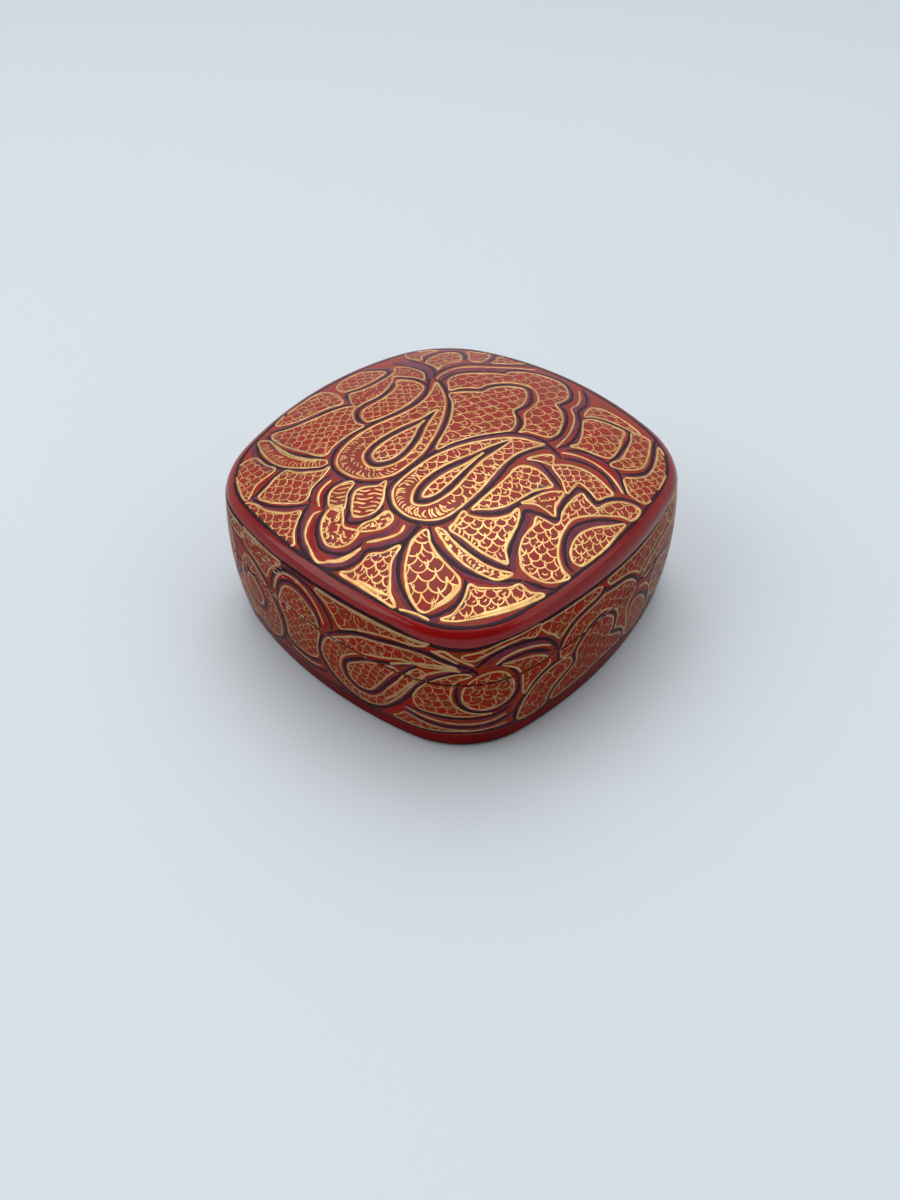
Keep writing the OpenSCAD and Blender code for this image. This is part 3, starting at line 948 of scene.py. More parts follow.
top_gold_bands = [
    ([(-51.4, -2.8), (-49.6, -5.4), (-46.8, -6.9), (-43.4, -7.6)], 1.5),
    ([(-28.2, 44), (-29.5, 39), (-29.8, 34), (-29.1, 29.6), (-27.6, 25.6)], 1.4),
    ([(-44.5, -33.2), (-40.4, -34.2), (-36.4, -33.8)], 1.3),
    ([(-49, -23.4), (-50.2, -19), (-50.8, -13)], 1.2),
    ([(-24, -49.6), (-28, -48.9), (-34.8, -45.6), (-41, -41.6)], 1.3),
]
top_contours = [
    [(23, 29), (19.8, 27), (17, 24.8), (13, 22.5), (8, 21.5), (3, 21.8), (-2, 22.9), (-7, 24.3),
     (-13.4, 25.1), (-18.3, 24.8), (-22.5, 23.7), (-25.8, 21.4), (-27.6, 18.6), (-28.2, 14),
     (-27.8, 10.2), (-26, 6.7), (-23.7, 4.2), (-20, 2.1), (-14.8, 1.7), (-8, 2.1), (-3.2, 3.7),
     (0, 4.8), (5.3, 7.4), (10.2, 10.4), (15.1, 14.3), (18.3, 18), (20.7, 21.3), (22.5, 24.8),
     (22.8, 27.8)],
    [(7.6, 13.7), (3, 13.5), (0, 14.2), (-4.2, 15.3), (-9.8, 16.2), (-15.1, 16.1), (-18.6, 14.7),
     (-20.2, 11.6), (-19.5, 9.5), (-16.5, 7.4), (-12.3, 7), (-7, 8.1), (-2.8, 9.8), (0, 11.3),
     (3.5, 12.7), (7.6, 13.7)],
    [(16, -26), (16.7, -24.6), (17.8, -20.8), (18.6, -17.9), (18.3, -15.1), (16.7, -12),
     (14.1, -8.4), (10, -5.6), (4.9, -3), (0, -0.9), (-4, 0.3), (-8, 1), (-14, 1.4), (-20, 1.5),
     (-23.5, 1.2), (-25.5, 0.4), (-27.6, -2.1), (-29.2, -5.3), (-29.6, -9.1), (-29.4, -11.6),
     (-28.3, -14.1), (-26.5, -16.9), (-23.6, -18.6), (-19, -19.5), (-13, -19.7), (-7, -19.3),
     (-1.8, -18.6), (3.9, -17.4), (9, -17.2), (13, -18.3), (15.8, -19.5), (17.8, -21)],
    [(11, -11), (4.9, -9.7), (0, -8.6), (-3.9, -7.4), (-8.8, -6), (-13.7, -5.3), (-18.3, -5.6),
     (-21.4, -6.7), (-23.2, -8.3), (-22.3, -9.8), (-19.7, -11.2), (-14.8, -11.8), (-9.5, -11.2),
     (-5.3, -10.5), (0, -10), (5, -10.2), (11, -11)],
    [(-47.5, 32), (-46.4, 30.9), (-42.2, 31.3), (-38.3, 31.8), (-35.2, 31.3), (-33.7, 30.9)],
    [(-47.2, 31), (-47.2, 27.7), (-46.7, 23.9), (-45.2, 20.4), (-42.9, 16.9), (-40.4, 14.4)],
    [(-29, 50), (-32.7, 45.7), (-34.6, 41.1), (-35.3, 36.2), (-34.8, 32), (-33.4, 29.2),
     (-31.1, 24.9), (-28.5, 21.8), (-26.5, 22)],
    [(-26, 49), (-27.7, 45), (-29, 39.9), (-28.5, 33), (-27.1, 28.1), (-25.5, 23.9)],
    [(-25.3, 49.2), (-20, 45.3), (-13.4, 42.5), (-8.1, 40.8), (-3.9, 38.5), (-2.6, 36.5)],
    [(-2.6, 36.5), (0, 42.4), (0.9, 44)],
    [(0.9, 44), (2.8, 43.5), (6, 41.7), (10, 41.2), (15.1, 41.5), (17.9, 41.9), (19.3, 44.5),
     (17.2, 48.7), (15, 51)],
    [(24.3, 47), (25, 41.7), (25.5, 37.8), (25, 33.3), (23, 30.5), (20, 27.6)],
    [(29.5, 45.9), (29.3, 41), (29.3, 37.1), (28.7, 34), (26.7, 30.8), (23.9, 28.9)],
    [(-8.3, 25.8), (-7.7, 28.8), (-6.3, 31.3), (-3.9, 33), (0, 33.4), (4.9, 32.7), (9.1, 33.6),
     (12.3, 34.8), (14, 35.7)],
    [(16.2, 37.7), (17.9, 35.7), (19.2, 32.6), (19.2, 30.1), (18.5, 26.9), (17.2, 24.8)],
    [(-40.5, 14.5), (-43.9, 13.5), (-47.8, 10.9), (-51.3, 6.7), (-52.9, 2.1), (-53.4, -2.1),
     (-52.2, -6), (-49.6, -8.6), (-46, -9.8), (-43.2, -9.3), (-41, -11.2), (-37.6, -13.7),
     (-34, -14.9), (-31, -14.5), (-28.5, -14)],
    [(-39.7, 9.5), (-43, 8.4), (-46, 6), (-48.3, 3.1), (-49.4, 0.7), (-48.5, -3.2), (-47.1, -5.3),
     (-44.5, -6.5), (-41.5, -6.7)],
    [(-40.4, 14.5), (-38.3, 16.9), (-35.5, 18.1), (-32, 18.3), (-29.2, 17.4)],
    [(-40, 10), (-38.3, 11), (-36.2, 13), (-33.7, 13.9), (-30.6, 13.9), (-29.3, 13)],
    [(-28.5, 9.3), (-31.3, 8.6), (-34.1, 6.7), (-36.9, 3.5), (-39.4, 1.4), (-38, -1.1),
     (-35.2, -3.2), (-32, -3.2), (-29.5, -2.5)],
    [(-28.5, -15), (-33.7, -15.1), (-38, -16.5), (-42, -19.2), (-45, -22.5), (-47.1, -27.4),
     (-47.8, -30.6), (-47.5, -33.7), (-43.9, -36), (-39.7, -36.9), (-35.5, -35.5), (-33.7, -33.9)],
    [(-27.5, -16.5), (-30.2, -19.7), (-31.8, -25.3), (-32.2, -30.2), (-31.3, -35.1), (-29, -39.4),
     (-26.5, -42.4), (-24.3, -44.6)],
    [(-26, -19.5), (-26.7, -24.6), (-26.9, -30.2), (-26.2, -34.4), (-24.8, -39), (-24, -41)],
    [(-17.2, -21.1), (-16.2, -23.2), (-13.7, -26), (-10.2, -28.1), (-5.6, -28.8), (0, -29.3),
     (3.5, -29.9), (6.2, -31.3)],
    [(6.3, -33.2), (7.9, -29.2), (9.5, -25.3), (10, -22.5), (8.5, -19.5)],
    [(-24, -40), (-21.8, -37.8), (-19, -36.2), (-14.4, -34.4), (-9.8, -32.7), (-7, -31.5),
     (-5.3, -34.1), (-3.9, -38), (-3, -39), (0, -37.4), (4.9, -36.2), (10, -36), (10.7, -37.5),
     (9.8, -41.1), (9.3, -42.3), (13, -43.6), (16.5, -46), (18.3, -48.9), (18.8, -52)],
    [(-24.3, -44.6), (-23.4, -47.1), (-21.8, -50.3), (-20, -52)],
    [(-13.5, -52), (-12.7, -49.2), (-9.1, -45.7), (-5.3, -43.8), (-2, -43.4), (1.8, -44.5),
     (6, -47.1), (9.5, -51), (10.5, -52.3)],
    [(16.5, -26), (19.2, -29.9), (20.2, -33.7), (19.9, -38.3), (18.3, -41.5), (17, -43.6)],
    [(20.4, -24.3), (23.2, -27.4), (24.8, -32), (25, -35.5), (24.3, -39.4), (21.1, -43.2),
     (18.5, -46)],
    [(19, 17.8), (22.1, 16.7), (24.6, 14.6), (26.7, 12.2), (29.2, 12), (32.3, 10.9), (35.1, 8.7),
     (37.4, 5.5), (38, 3.4), (37.1, 1.3), (35.1, -0.7), (32, -2.8), (28.1, -3.7), (24.6, -3.3),
     (23.2, -4.9), (21.1, -7.6), (17.9, -9.3), (15.5, -9.8)],
    [(22.5, 24.5), (25, 25.2), (28.8, 25.4), (32, 24.1), (36.2, 21), (39.4, 17.8), (40.8, 15.2),
     (42.9, 15), (46.7, 12.5), (49, 8.7), (50.3, 4.8), (50.8, 0.6), (49.7, -3.5), (46.7, -7.4),
     (42.5, -9.7), (38.7, -9.7), (37.7, -9.5), (35.9, -12.7), (32.7, -15.5), (28.8, -17.6),
     (24.3, -19.2), (20.7, -19), (18.5, -18)],
    [(18.6, -22.1), (22.8, -23.2), (27.4, -22.5), (30.9, -21.1), (35.1, -18.6), (38, -15.8),
     (40.1, -14.8), (43.6, -14.4), (47.1, -12.5), (50.3, -9.5), (52, -7)],
    [(23, 28), (25, 29), (29.2, 29.7), (33, 29.4), (37.3, 27.8), (40, 24.8), (43.2, 21.3),
     (46.4, 17.8), (50.3, 14.3), (52, 11)],
    [(37, -18.5), (40.1, -20), (41.7, -23.6), (43.1, -28.1), (43.3, -30.2), (40.1, -32.3),
     (35.1, -33.9), (29.2, -35.1), (25.2, -35.2)],
    [(24.6, -40.1), (27.1, -42.2), (30.6, -43.8), (35.1, -43.2), (40.1, -40.8), (45.3, -38),
     (47.5, -37)],
    [(30.6, 38.9), (33.4, 41), (37, 41.5), (42, 40.5), (45, 37.1), (44.3, 34.3), (42.2, 31.5),
     (39.7, 29.6)],
    [(42.7, 24), (46.4, 24.1), (50.3, 25.9), (52, 27)],
]
# Bands of mauve or of bright red laid along the contours
top_mauve = [
    ([(-30.7, 50), (-34.2, 46), (-36.1, 41.3), (-36.8, 36), (-36.2, 31.9)], 1.3),
    ([(-24.8, 46), (-27.3, 39.9), (-26.9, 33), (-25.6, 28.1)], 1.0),
    ([(27.2, 47), (27.3, 41), (27.4, 37.5), (26.9, 34.5), (25.2, 31.2), (22, 28.6)], 2.2),
    ([(-42, 12.4), (-45.4, 11.8), (-49.2, 9.2), (-51.8, 5.2), (-53, 0.5)], 1.5),
    ([(-52.6, -3), (-50.4, -6.8), (-46.6, -8.6), (-43, -9)], 2.2),
    ([(-43, -9.4), (-38.6, -12), (-36, -13.4), (-32.5, -13.8), (-30.2, -13)], 2.4),
    ([(-50, -1.4), (-48.8, -4.2), (-46.6, -5.8), (-43.4, -6.9)], 1.2),
    ([(-45, -5.2), (-42, -5.6), (-39.5, -7.2), (-37, -9), (-33.5, -9.9), (-30.5, -9)], 1.5),
    ([(-46.8, -7.7), (-42, -13.5), (-36, -16), (-31, -15.8)], 1.0),
    ([(-48.9, -29), (-49, -34), (-44.5, -37.2), (-39, -38.2), (-34.5, -36)], 1.3),
    ([(-28.6, -18.2), (-30.9, -22.4), (-31.1, -27), (-31.2, -32), (-29.8, -37)], 1.0),
    ([(-15.6, -20.6), (-14.8, -23), (-12, -25.6), (-8, -27.2)], 1.0),
    ([(8.4, -31.5), (10, -27.5), (11.4, -23.5), (9.8, -20)], 1.2),
    ([(-24.2, -41.8), (-21, -39.2), (-16.5, -36.8), (-11, -34.8), (-7.4, -33.2)], 1.0),
    ([(-11.5, -50), (-8.4, -46.8), (-4.8, -45.1), (-2, -44.8), (2.2, -46), (6.5, -48.6), (10, -52)],
     1.5),
    ([(22, -20), (26.5, -20.8), (31.5, -19.6), (36.4, -16.8), (39.2, -13.7), (43, -13.3),
     (46.6, -11.4)], 1.6),
    ([(23.6, 26.6), (29, 26.8), (33.4, 25.6), (37.2, 22.4), (40.6, 18.8), (43.5, 16.2), (47.6, 13)],
     1.4),
]
top_red = [
    ([(-46.5, 33), (-42.2, 32.6), (-38.3, 33.1), (-35.6, 32.6)], 1.2),
    ([(-33.2, 28.4), (-31.6, 24.6), (-29.2, 21.9)], 1.2),
    ([(-40, 12.9), (-38.3, 15.2), (-36, 16.9), (-33, 17.3), (-30, 16.8)], 1.6),
    ([(-39.8, 10.8), (-37.9, 12.3), (-36, 14.2), (-33.7, 15), (-30.8, 15)], 1.4),
    ([(-43, 9.6), (-46.6, 7.2), (-49.2, 4.3), (-50.8, 1)], 1.4),
    ([(-29.2, -16.4), (-31.8, -20.4), (-33.3, -25.8), (-33.6, -30.5), (-32.6, -35.5), (-30, -40.4)],
     1.3),
    ([(18.4, -27.3), (20.6, -31), (21, -35), (20.2, -39.6), (18.2, -43)], 1.6),
    ([(20.9, -26), (22.8, -30.5), (23.4, -35.2), (22.5, -39.6), (20, -44)], 1.8),
    ([(26.3, 46.5), (26.5, 41), (26.6, 37.8), (26, 34.5)], 1.2),
]


def trimmed(strokes, keep):
    """The parts of the strokes that lie where keep is true"""
    return [(run, width) for line, width in strokes for run in kept(line, keep)]


hand = random.Random(7)
x, y, nx, ny = plan_at(np.arange(0, ROUND, 1.0))
edge_in = SHOULDER_IN + EDGE_IN
top_field = within(np.stack([x - edge_in * nx, y - edge_in * ny], 1))

gold_outlines, gold_fills = [], []
for one in top_leaves:
    strokes = leaf(hand, *one)
    gold_outlines.append(strokes[0])
    gold_fills += strokes[1:]
for guide, reach, gap in top_combs:
    gold_fills += [(dab, width * full(dab[0])) for dab, width in combed(guide, reach, gap, hand)]
for line in map(flowing, top_gold_lines):
    gold_outlines.append((line, 0.9 * full(line[len(line) // 2])))
gold_outlines += drawn_through(top_gold_bands)

top_dark = []
for line in map(flowing, top_contours):
    top_dark.append((line, DARK_LINE * (0.55 + 0.4 * full(line.mean(0)))))
# A thinner mauve line runs beside each dark one
top_mauve_lines = [(beside(line, 0.6 * width * hand.choice((-1, 1))), 1.05 * width)
                   for line, width in top_dark]
line_in = SHOULDER_IN + 0.3
inner_line = np.stack([x - line_in * nx, y - line_in * ny], 1)
inner_line = (np.vstack([inner_line, inner_line[:1]]), 1.1)

top_coats = (
    ("lid_wash", widened(gold_fills, 1.5) + widened(gold_outlines, 2.5),
     WASH_UP, brown_wash, "painted_shell", True),
    ("lid_red_bands", drawn_through(top_red), RED_UP, red_paint, "painted_shell", False),
    ("lid_mauve_bands", top_mauve_lines + drawn_through(top_mauve),
     MAUVE_UP, mauve_paint, "dark_paint", False),
    ("lid_contours", top_dark, DARK_UP, dark_paint, "dark_paint", False),
    ("lid_gold_fills", gold_fills, FILL_UP, gold_paint, "gold_paint", True),
    ("lid_gold_outlines", gold_outlines, GOLD_UP, gold_paint, "gold_paint", False),
)
for name, strokes, up, finish, slot, fine in top_coats:
    strokes = trimmed(strokes, top_field) + ([inner_line] if name == "lid_contours" else [])
    painted(name, strokes, on_dome, up, finish, "lid", slot, hand, fine)

# The painting round the walls runs over the seam from lid to base. Its motifs lie along
# u, to the right of the near corner, at height z. The half of the round that the near
# corner shows is painted again on the far half.
SEAM_KEPT, SEAM_CUT = 0.35, 0.22    # how near the seam a stroke, and its edge, may come
CHIP_AND_HIGHLIGHT_UP = 0.055

wall_leaves = [
    # swirl at the left end, the arch and the drop under it
    ([(-74.6, 33.4), (-70, 32.2), (-65.5, 29), (-62, 23.5), (-60.6, 18.5), (-61.8, 12), (-65, 8.6),
     (-69, 7.4), (-73.4, 8.8), (-76.6, 12.4), (-78.6, 18), (-78.8, 24.4), (-77.4, 30)], "scales",
     3.4, 20, ([(-76.6, 28.2), (-73, 28.4), (-69.6, 27.2), (-66.2, 22), (-66.6, 17.6), (-70, 14.6),
     (-74, 15), (-77, 19), (-77.4, 24)],)),
    ([(-74.4, 26.8), (-70.8, 25.6), (-68.6, 21.9), (-69, 19), (-71.4, 17), (-74.2, 17.8),
     (-75.8, 21), (-75.8, 24.4)], "hooks", 2.2, 0),
    ([(-75, 41.2), (-69, 41.6), (-63, 41.9), (-57.5, 41.9), (-60.4, 39.4), (-63.2, 35.6),
     (-64.3, 33), (-69, 35), (-75, 37.2)], "hooks", 2.2, 20),
    ([(-59.3, 27), (-58.3, 31.5), (-56, 35.2), (-52, 36.4), (-47.5, 34.8), (-44.2, 31.5),
     (-43.6, 26.5), (-45, 20), (-45.4, 16), (-48, 13.8), (-52, 13.2), (-57, 14.6), (-57.2, 20),
     (-58, 23.5)], "scales", 3.1, 170),
    ([(-44.2, 41.8), (-38, 42), (-30, 41.6), (-22, 41.2), (-10.5, 40.6), (-13.8, 39.5), (-20, 39),
     (-26, 37.7), (-31, 36), (-35.8, 33.8), (-37.4, 36.2), (-40, 39.2)], "scales", 4.2, 0),
    # paisley that leans to the near corner
    ([(-43, 19.8), (-41.2, 26), (-38.4, 28.7), (-34.5, 31.3), (-29.6, 34.2), (-24, 35.6),
     (-16.7, 37.1), (-11, 37.2), (-7, 35.8), (-3.2, 34.4), (-6.8, 33.9), (-11, 33.5), (-16.9, 33.3),
     (-22, 31.2), (-28, 29), (-32.7, 26), (-36, 22.4), (-36.7, 17.8), (-35.2, 14), (-31.5, 11.6),
     (-27, 12.2), (-24, 15), (-21.4, 19.4), (-18.4, 24), (-15.6, 28.8), (-12.6, 32), (-10.6, 31),
     (-13.4, 26.4), (-16.6, 20.5), (-19.6, 15.7), (-23.2, 11.2), (-27, 8.8), (-31, 8.2),
     (-35.4, 9.6), (-39.4, 12.6), (-41.8, 16.2)], "scales", 3.4, 30),
    ([(-33.9, 18.2), (-33.6, 21.4), (-31, 23.9), (-27.2, 26.4), (-21.6, 28.6), (-18.6, 29.2),
     (-21.6, 24), (-24.4, 19.2), (-26.8, 15.6), (-29.6, 14.2), (-32.2, 15)], "scales", 3.0, 20),
    ([(-13.9, 20.5), (-12.8, 24.2), (-10.4, 27.6), (-6.6, 30.6), (-1.6, 32.4), (0.4, 31.6),
     (-3.2, 29.6), (-4.4, 26), (-4.2, 21.8), (-1.8, 18.4), (1.6, 16.6), (5.6, 15.9), (-2, 15.6),
     (-8.6, 16.2), (-12.4, 16.8)], "scales", 3.4, 60),
    # round leaf at the near corner and the crescents over it
    ([(11.1, 24.4), (10.4, 28.2), (8, 31.4), (5, 32), (1.8, 30.8), (-0.8, 28), (-1.8, 24),
     (-0.9, 20.6), (1.6, 18.6), (5, 18), (8.4, 19.2), (10.6, 21.6)], "scales", 4.0, 30),
    ([(8, 33.9), (12, 33.6), (15.4, 32.8), (18.6, 31.2), (21.2, 29), (22.2, 26), (19.6, 24.6),
     (16.6, 22.6), (14.2, 19.6), (13.6, 23.6), (13.4, 27.6), (11.6, 31.2)], "hooks", 2.1, 30),
    ([(-1.8, 38.2), (3, 39.4), (8, 41), (14, 41.6), (19.4, 41.3), (17.6, 38.6), (13.6, 40),
     (9, 39.8), (4.6, 38.4), (1.6, 36.8), (-1, 37)], "hooks", 2.3, 0),
    ([(19.2, 40.8), (24, 41), (32, 41), (39, 40.6), (41.2, 39.4), (39.6, 38.2), (35, 37.6),
     (30.2, 36.3), (27.2, 34.4), (25.2, 33), (23.8, 35), (21, 37.6)], "scales", 4.2, 10),
    ([(43.4, 40.2), (50, 40.4), (58, 40.2), (66, 40.2), (75, 40.4), (75, 36.4), (68, 34.9),
     (62, 33), (59.4, 31.4), (57.2, 33.4), (53.4, 35.8), (48, 37.4), (44.8, 38.2)], "scales", 3.6,
     0),
    ([(-20.4, 8), (-18.4, 10.2), (-16.4, 12.4), (-12, 11), (-6.6, 9.4), (-0.8, 8.8), (-7, 8),
     (-14, 7.6)], "hooks", 1.9, 0),
    # round leaf low down to the right, and the cloud with its lobes
    ([(13.4, 8.4), (13.5, 13.6), (15.4, 18.2), (18.8, 21.8), (23, 23.6), (27, 23.6), (29.8, 22),
     (30.2, 19.4), (26, 16.4), (23, 12.8), (21.8, 8.4)], "scales", 4.4, 0),
    ([(26, 25), (26.5, 28.9), (29.2, 32.7), (32.8, 34.7), (37.8, 35.5), (41.4, 36.2), (42.4, 36.2),
     (47.6, 35), (52.4, 33.7), (55.9, 31.2), (57.6, 28.4), (56.3, 25.4), (54, 22.6), (54.6, 18),
     (55.6, 12), (55.4, 8.4), (54.6, 12.8), (51.2, 16.8), (48.8, 18.6), (49.4, 21), (48.8, 25.4),
     (45.4, 29), (41.4, 30.8), (36.8, 30.1), (32.6, 27.6), (30, 24.4)], "scales", 4.0, 20),
    ([(24.3, 8.8), (24.4, 11.2), (27, 14.4), (30.4, 16.8), (32.4, 18.8), (32.2, 22.8), (34.1, 25.6),
     (37.4, 27.9), (41.2, 28.6), (44.4, 26.9), (46.9, 24.2), (47.2, 20.4), (46.2, 17.8),
     (50.2, 14.8), (52.8, 12.6), (53.2, 9.4), (44, 9.6), (34, 8.4)], "scales", 4.4, 10),
    ([(57.4, 22), (60.4, 21.4), (63.6, 18.8), (66, 14.6), (66.6, 9.4), (66, 7.6), (56.8, 8.2),
     (56.4, 14)], "scales", 3.6, 0),
    # leaf and paisley on the corner that turns away
    ([(61, 29.6), (64.2, 31.4), (69, 32.6), (76, 33.4), (83, 33), (88.6, 30.6), (84, 28.2),
     (78, 27.6), (71, 28.8), (66, 27.2), (62.4, 27.4)], "scales", 3.4, 0),
    ([(69, 24.6), (73, 25.8), (79, 24.6), (84.6, 25.2), (90, 28.2), (94.6, 32.4), (99, 37.2),
     (103.4, 38.6), (107.4, 36.4), (109.4, 31), (108.4, 24.4), (104.6, 17.6), (98.8, 12),
     (91.6, 8.8), (83.6, 8.2), (76, 9.6), (70.6, 13), (68, 18.6)], "scales", 3.8, 20, ([(74, 20),
     (80, 20.6), (87, 22.6), (94, 26.6), (99.6, 31), (102.6, 30.4), (101, 24.6), (96.4, 18.6),
     (90, 14.4), (82, 13), (76, 14.6)],)),
    ([(77, 18.6), (81.4, 18.6), (88, 20.8), (94.6, 24.8), (98.8, 27.8), (98.4, 24.2), (94.4, 19.6),
     (88.6, 16.2), (82, 15), (78, 16.2)], "scales", 3, 20),
    ([(77, 40.4), (85, 40.6), (93, 40.4), (97, 39.2), (93.4, 36), (89.6, 33), (83.6, 35),
     (77.4, 35.6)], "scales", 3.6, 0),
    ([(110.8, 40.8), (115.6, 40.8), (115.6, 38), (111.4, 37.6), (108.8, 38.8)], "hooks", 2, 0),
    ([(103, 8), (110, 7.6), (115.4, 7.6), (115.4, 13), (113.4, 17.6), (109.4, 16.6), (106.2, 12)],
     "hooks", 2.1, 0),
]
wall_gold_lines = [
    [(-61.2, 31), (-59.4, 36), (-56.4, 39.4), (-52, 40.3), (-47.4, 39.2), (-43.6, 36),
     (-41.2, 31.2)],
    [(-57.5, 10.4), (-53, 9.9), (-48, 10.4), (-44.6, 12)],
    [(-20.4, 30), (-16.2, 32.4), (-11.8, 34.2), (-7, 34.6), (-2.6, 34.2)],
    [(-23, 13.6), (-19.4, 18), (-16.2, 23), (-13, 28), (-9.4, 31.6), (-4.4, 33.6), (-1.8, 33.2)],
    [(-8.7, 38.9), (-6.4, 39.6), (-3, 37.4), (1.2, 35)],
    [(-9.4, 39.4), (-6.4, 38), (-2.4, 35.8)],
    [(6.2, 34.3), (8.6, 35.9), (11.4, 36.6), (14.6, 36.3), (18.6, 34.8), (21, 33.4), (22.4, 32.2)],
    [(-16.4, 15.4), (-12.4, 14), (-6.6, 12.6), (0, 11.9), (5.4, 12.3), (9.6, 14)],
    [(-4, 8.6), (0, 8.4), (5, 8.7), (10, 9.6)],
    [(60, 25.4), (64, 23.4), (67.4, 19.4), (69, 14), (68.6, 8)],
    [(-76, 42.3), (-66, 42.5), (-57, 42.6)],
    [(-44, 42.6), (-30, 42.1), (-20, 41.7), (-9.4, 41.2)],
    [(76, 42), (86, 41.6), (96, 41.2), (106, 41.4), (114, 41.8)],
]
wall_contours = [
    [(-76, 35.4), (-69.2, 33.4), (-64.2, 29.8), (-61.2, 25), (-59.2, 19.8), (-59.8, 14),
     (-61.8, 9.8), (-66, 6.8)],
    [(-76.4, 26.4), (-73.6, 27.7), (-69.6, 26.5), (-67.3, 21.9), (-68, 18), (-71.2, 15.8),
     (-74.8, 16.6), (-76.8, 20)],
    [(-62.6, 30.2), (-61.5, 35), (-58.3, 39.4), (-54.2, 41.6), (-49.6, 41.8), (-45, 40.5),
     (-41.7, 38.2), (-38.8, 34), (-38.4, 31)],
    [(-59.8, 29), (-58.8, 34.2), (-55.8, 37.4), (-51.5, 38.4), (-46.5, 36.6), (-43.2, 32),
     (-42.8, 28.4)],
    [(-62.4, 29.6), (-59.6, 25.7), (-58.5, 19.8), (-58.6, 14.8), (-55.4, 12.4), (-51.6, 11.8),
     (-47.6, 12.6), (-44.2, 15)],
    [(-60, 10.4), (-56.6, 9), (-51.6, 8.4), (-46.6, 9), (-42.4, 11)],
    [(-37.8, 31), (-35.4, 32.6), (-30, 35.3), (-24.2, 36.7), (-16.7, 38.2), (-10.8, 38.3),
     (-6.7, 36.9), (-2.5, 35.2), (0.8, 33.6), (2.2, 31.6)],
    [(1.4, 33.2), (-2.9, 32.8), (-7.5, 30.7), (-11.7, 26.9), (-14.6, 21.5), (-17.5, 16.5),
     (-20.8, 12.3), (-24.6, 8.6), (-29.2, 6.9), (-34.2, 7.5), (-38.8, 9.8), (-42.5, 14),
     (-44.2, 19), (-43, 25), (-40.6, 28.4), (-37.8, 31)],
    [(-14.6, 33.8), (-16.7, 31.9), (-21.7, 29.8), (-27.5, 27.5), (-31.7, 24.8), (-34.6, 21.9),
     (-35.3, 18), (-34.6, 14.8), (-31.6, 13.1), (-28.4, 13.2), (-25.8, 15), (-23.3, 18.2),
     (-20.8, 22.3), (-17.5, 27.3), (-14, 31.6), (-12.4, 33.6)],
    [(12.4, 24.6), (11.9, 28.9), (9.6, 32.4)],
    [(-2.4, 29.6), (-3.2, 25.6), (-2.6, 21.4), (-0.4, 18.4), (3, 16.9), (7, 17), (10.4, 19),
     (12.2, 22), (12.4, 25.4)],
    [(1.6, 34.2), (4.6, 37.1), (8.8, 38.8), (13.3, 38.7), (18.3, 37.2), (21.7, 34.8), (23.9, 31.6),
     (24.8, 28), (24.8, 25)],
    [(6.6, 33.6), (10.6, 35), (15, 34.8), (19, 32.8), (22.6, 30.2)],
    [(-16.4, 16.2), (-11, 15.6), (-4, 14.8), (2, 14.4), (7, 15), (10.6, 17.2)],
    [(-16.6, 14), (-10, 11.6), (-2, 10.3), (6, 10.9), (11.6, 13.6)],
    [(12.2, 7.6), (12.2, 13.6), (14.4, 19), (18.2, 22.8), (22.9, 24.7), (26.4, 24.7)],
    [(24.9, 24.8), (25.3, 29.4), (28.3, 33.6), (32.1, 35.7), (37.5, 36.6), (40.6, 37.2),
     (41.9, 38.6), (43.3, 37.2), (47.9, 36.2), (52.9, 34.8), (56.6, 32), (58.7, 29)],
    [(61.4, 27.6), (58.6, 28.9), (56.8, 25), (55.6, 22.8), (60, 22.6), (64.4, 19.6), (67.2, 14.6),
     (67.8, 9), (67.4, 7)],
    [(22.7, 7.6), (23.2, 11.6), (26.3, 15.3), (30, 17.8), (31.2, 19.2), (31, 23.2), (33.3, 26.7),
     (37.1, 29), (41.3, 29.7), (45, 27.8), (47.9, 24.8), (48.2, 20.4), (47.4, 18.2), (50.8, 15.7),
     (53.9, 13.2), (54.3, 8.4)],
    [(58.9, 29.2), (62, 32), (67, 33.9), (75, 34.9), (83, 34.6), (90, 32), (94, 35), (99, 38.8),
     (103.6, 40), (108.6, 37.4), (110.8, 31), (109.6, 24), (105.6, 16.6), (99.2, 10.8),
     (91.6, 7.6)],
    [(60.6, 28), (66, 26.2), (71, 27.8), (78, 26.4), (84.6, 26.8), (90, 31)],
    [(91.6, 7.4), (83.6, 6.9), (75.6, 8.2), (69.6, 12), (66.8, 18.6), (67.6, 24.6), (70.8, 27.6)],
    [(101.4, 30.6), (94, 26), (87, 21.9), (80.6, 19.7), (75.6, 18.8), (75.8, 16), (81.6, 13.9),
     (89.4, 15.2), (95.8, 19), (100.2, 24.6), (102.2, 31)],
    [(110, 20.6), (113.2, 24.6), (116.4, 26)],
    [(108.8, 40.2), (112, 36.4), (116.4, 35.4)],
    [(-77, 6.6), (-66, 6), (-50, 6), (-36, 6.4), (-24, 6.2), (-12, 6.9), (-2, 7.6), (6, 7.5),
     (18, 6.8), (30, 7), (42, 7.9), (50, 7.4), (58, 6.4), (76, 6.2), (96, 6.6), (108, 6.4),
     (115.3, 6.6)],
]
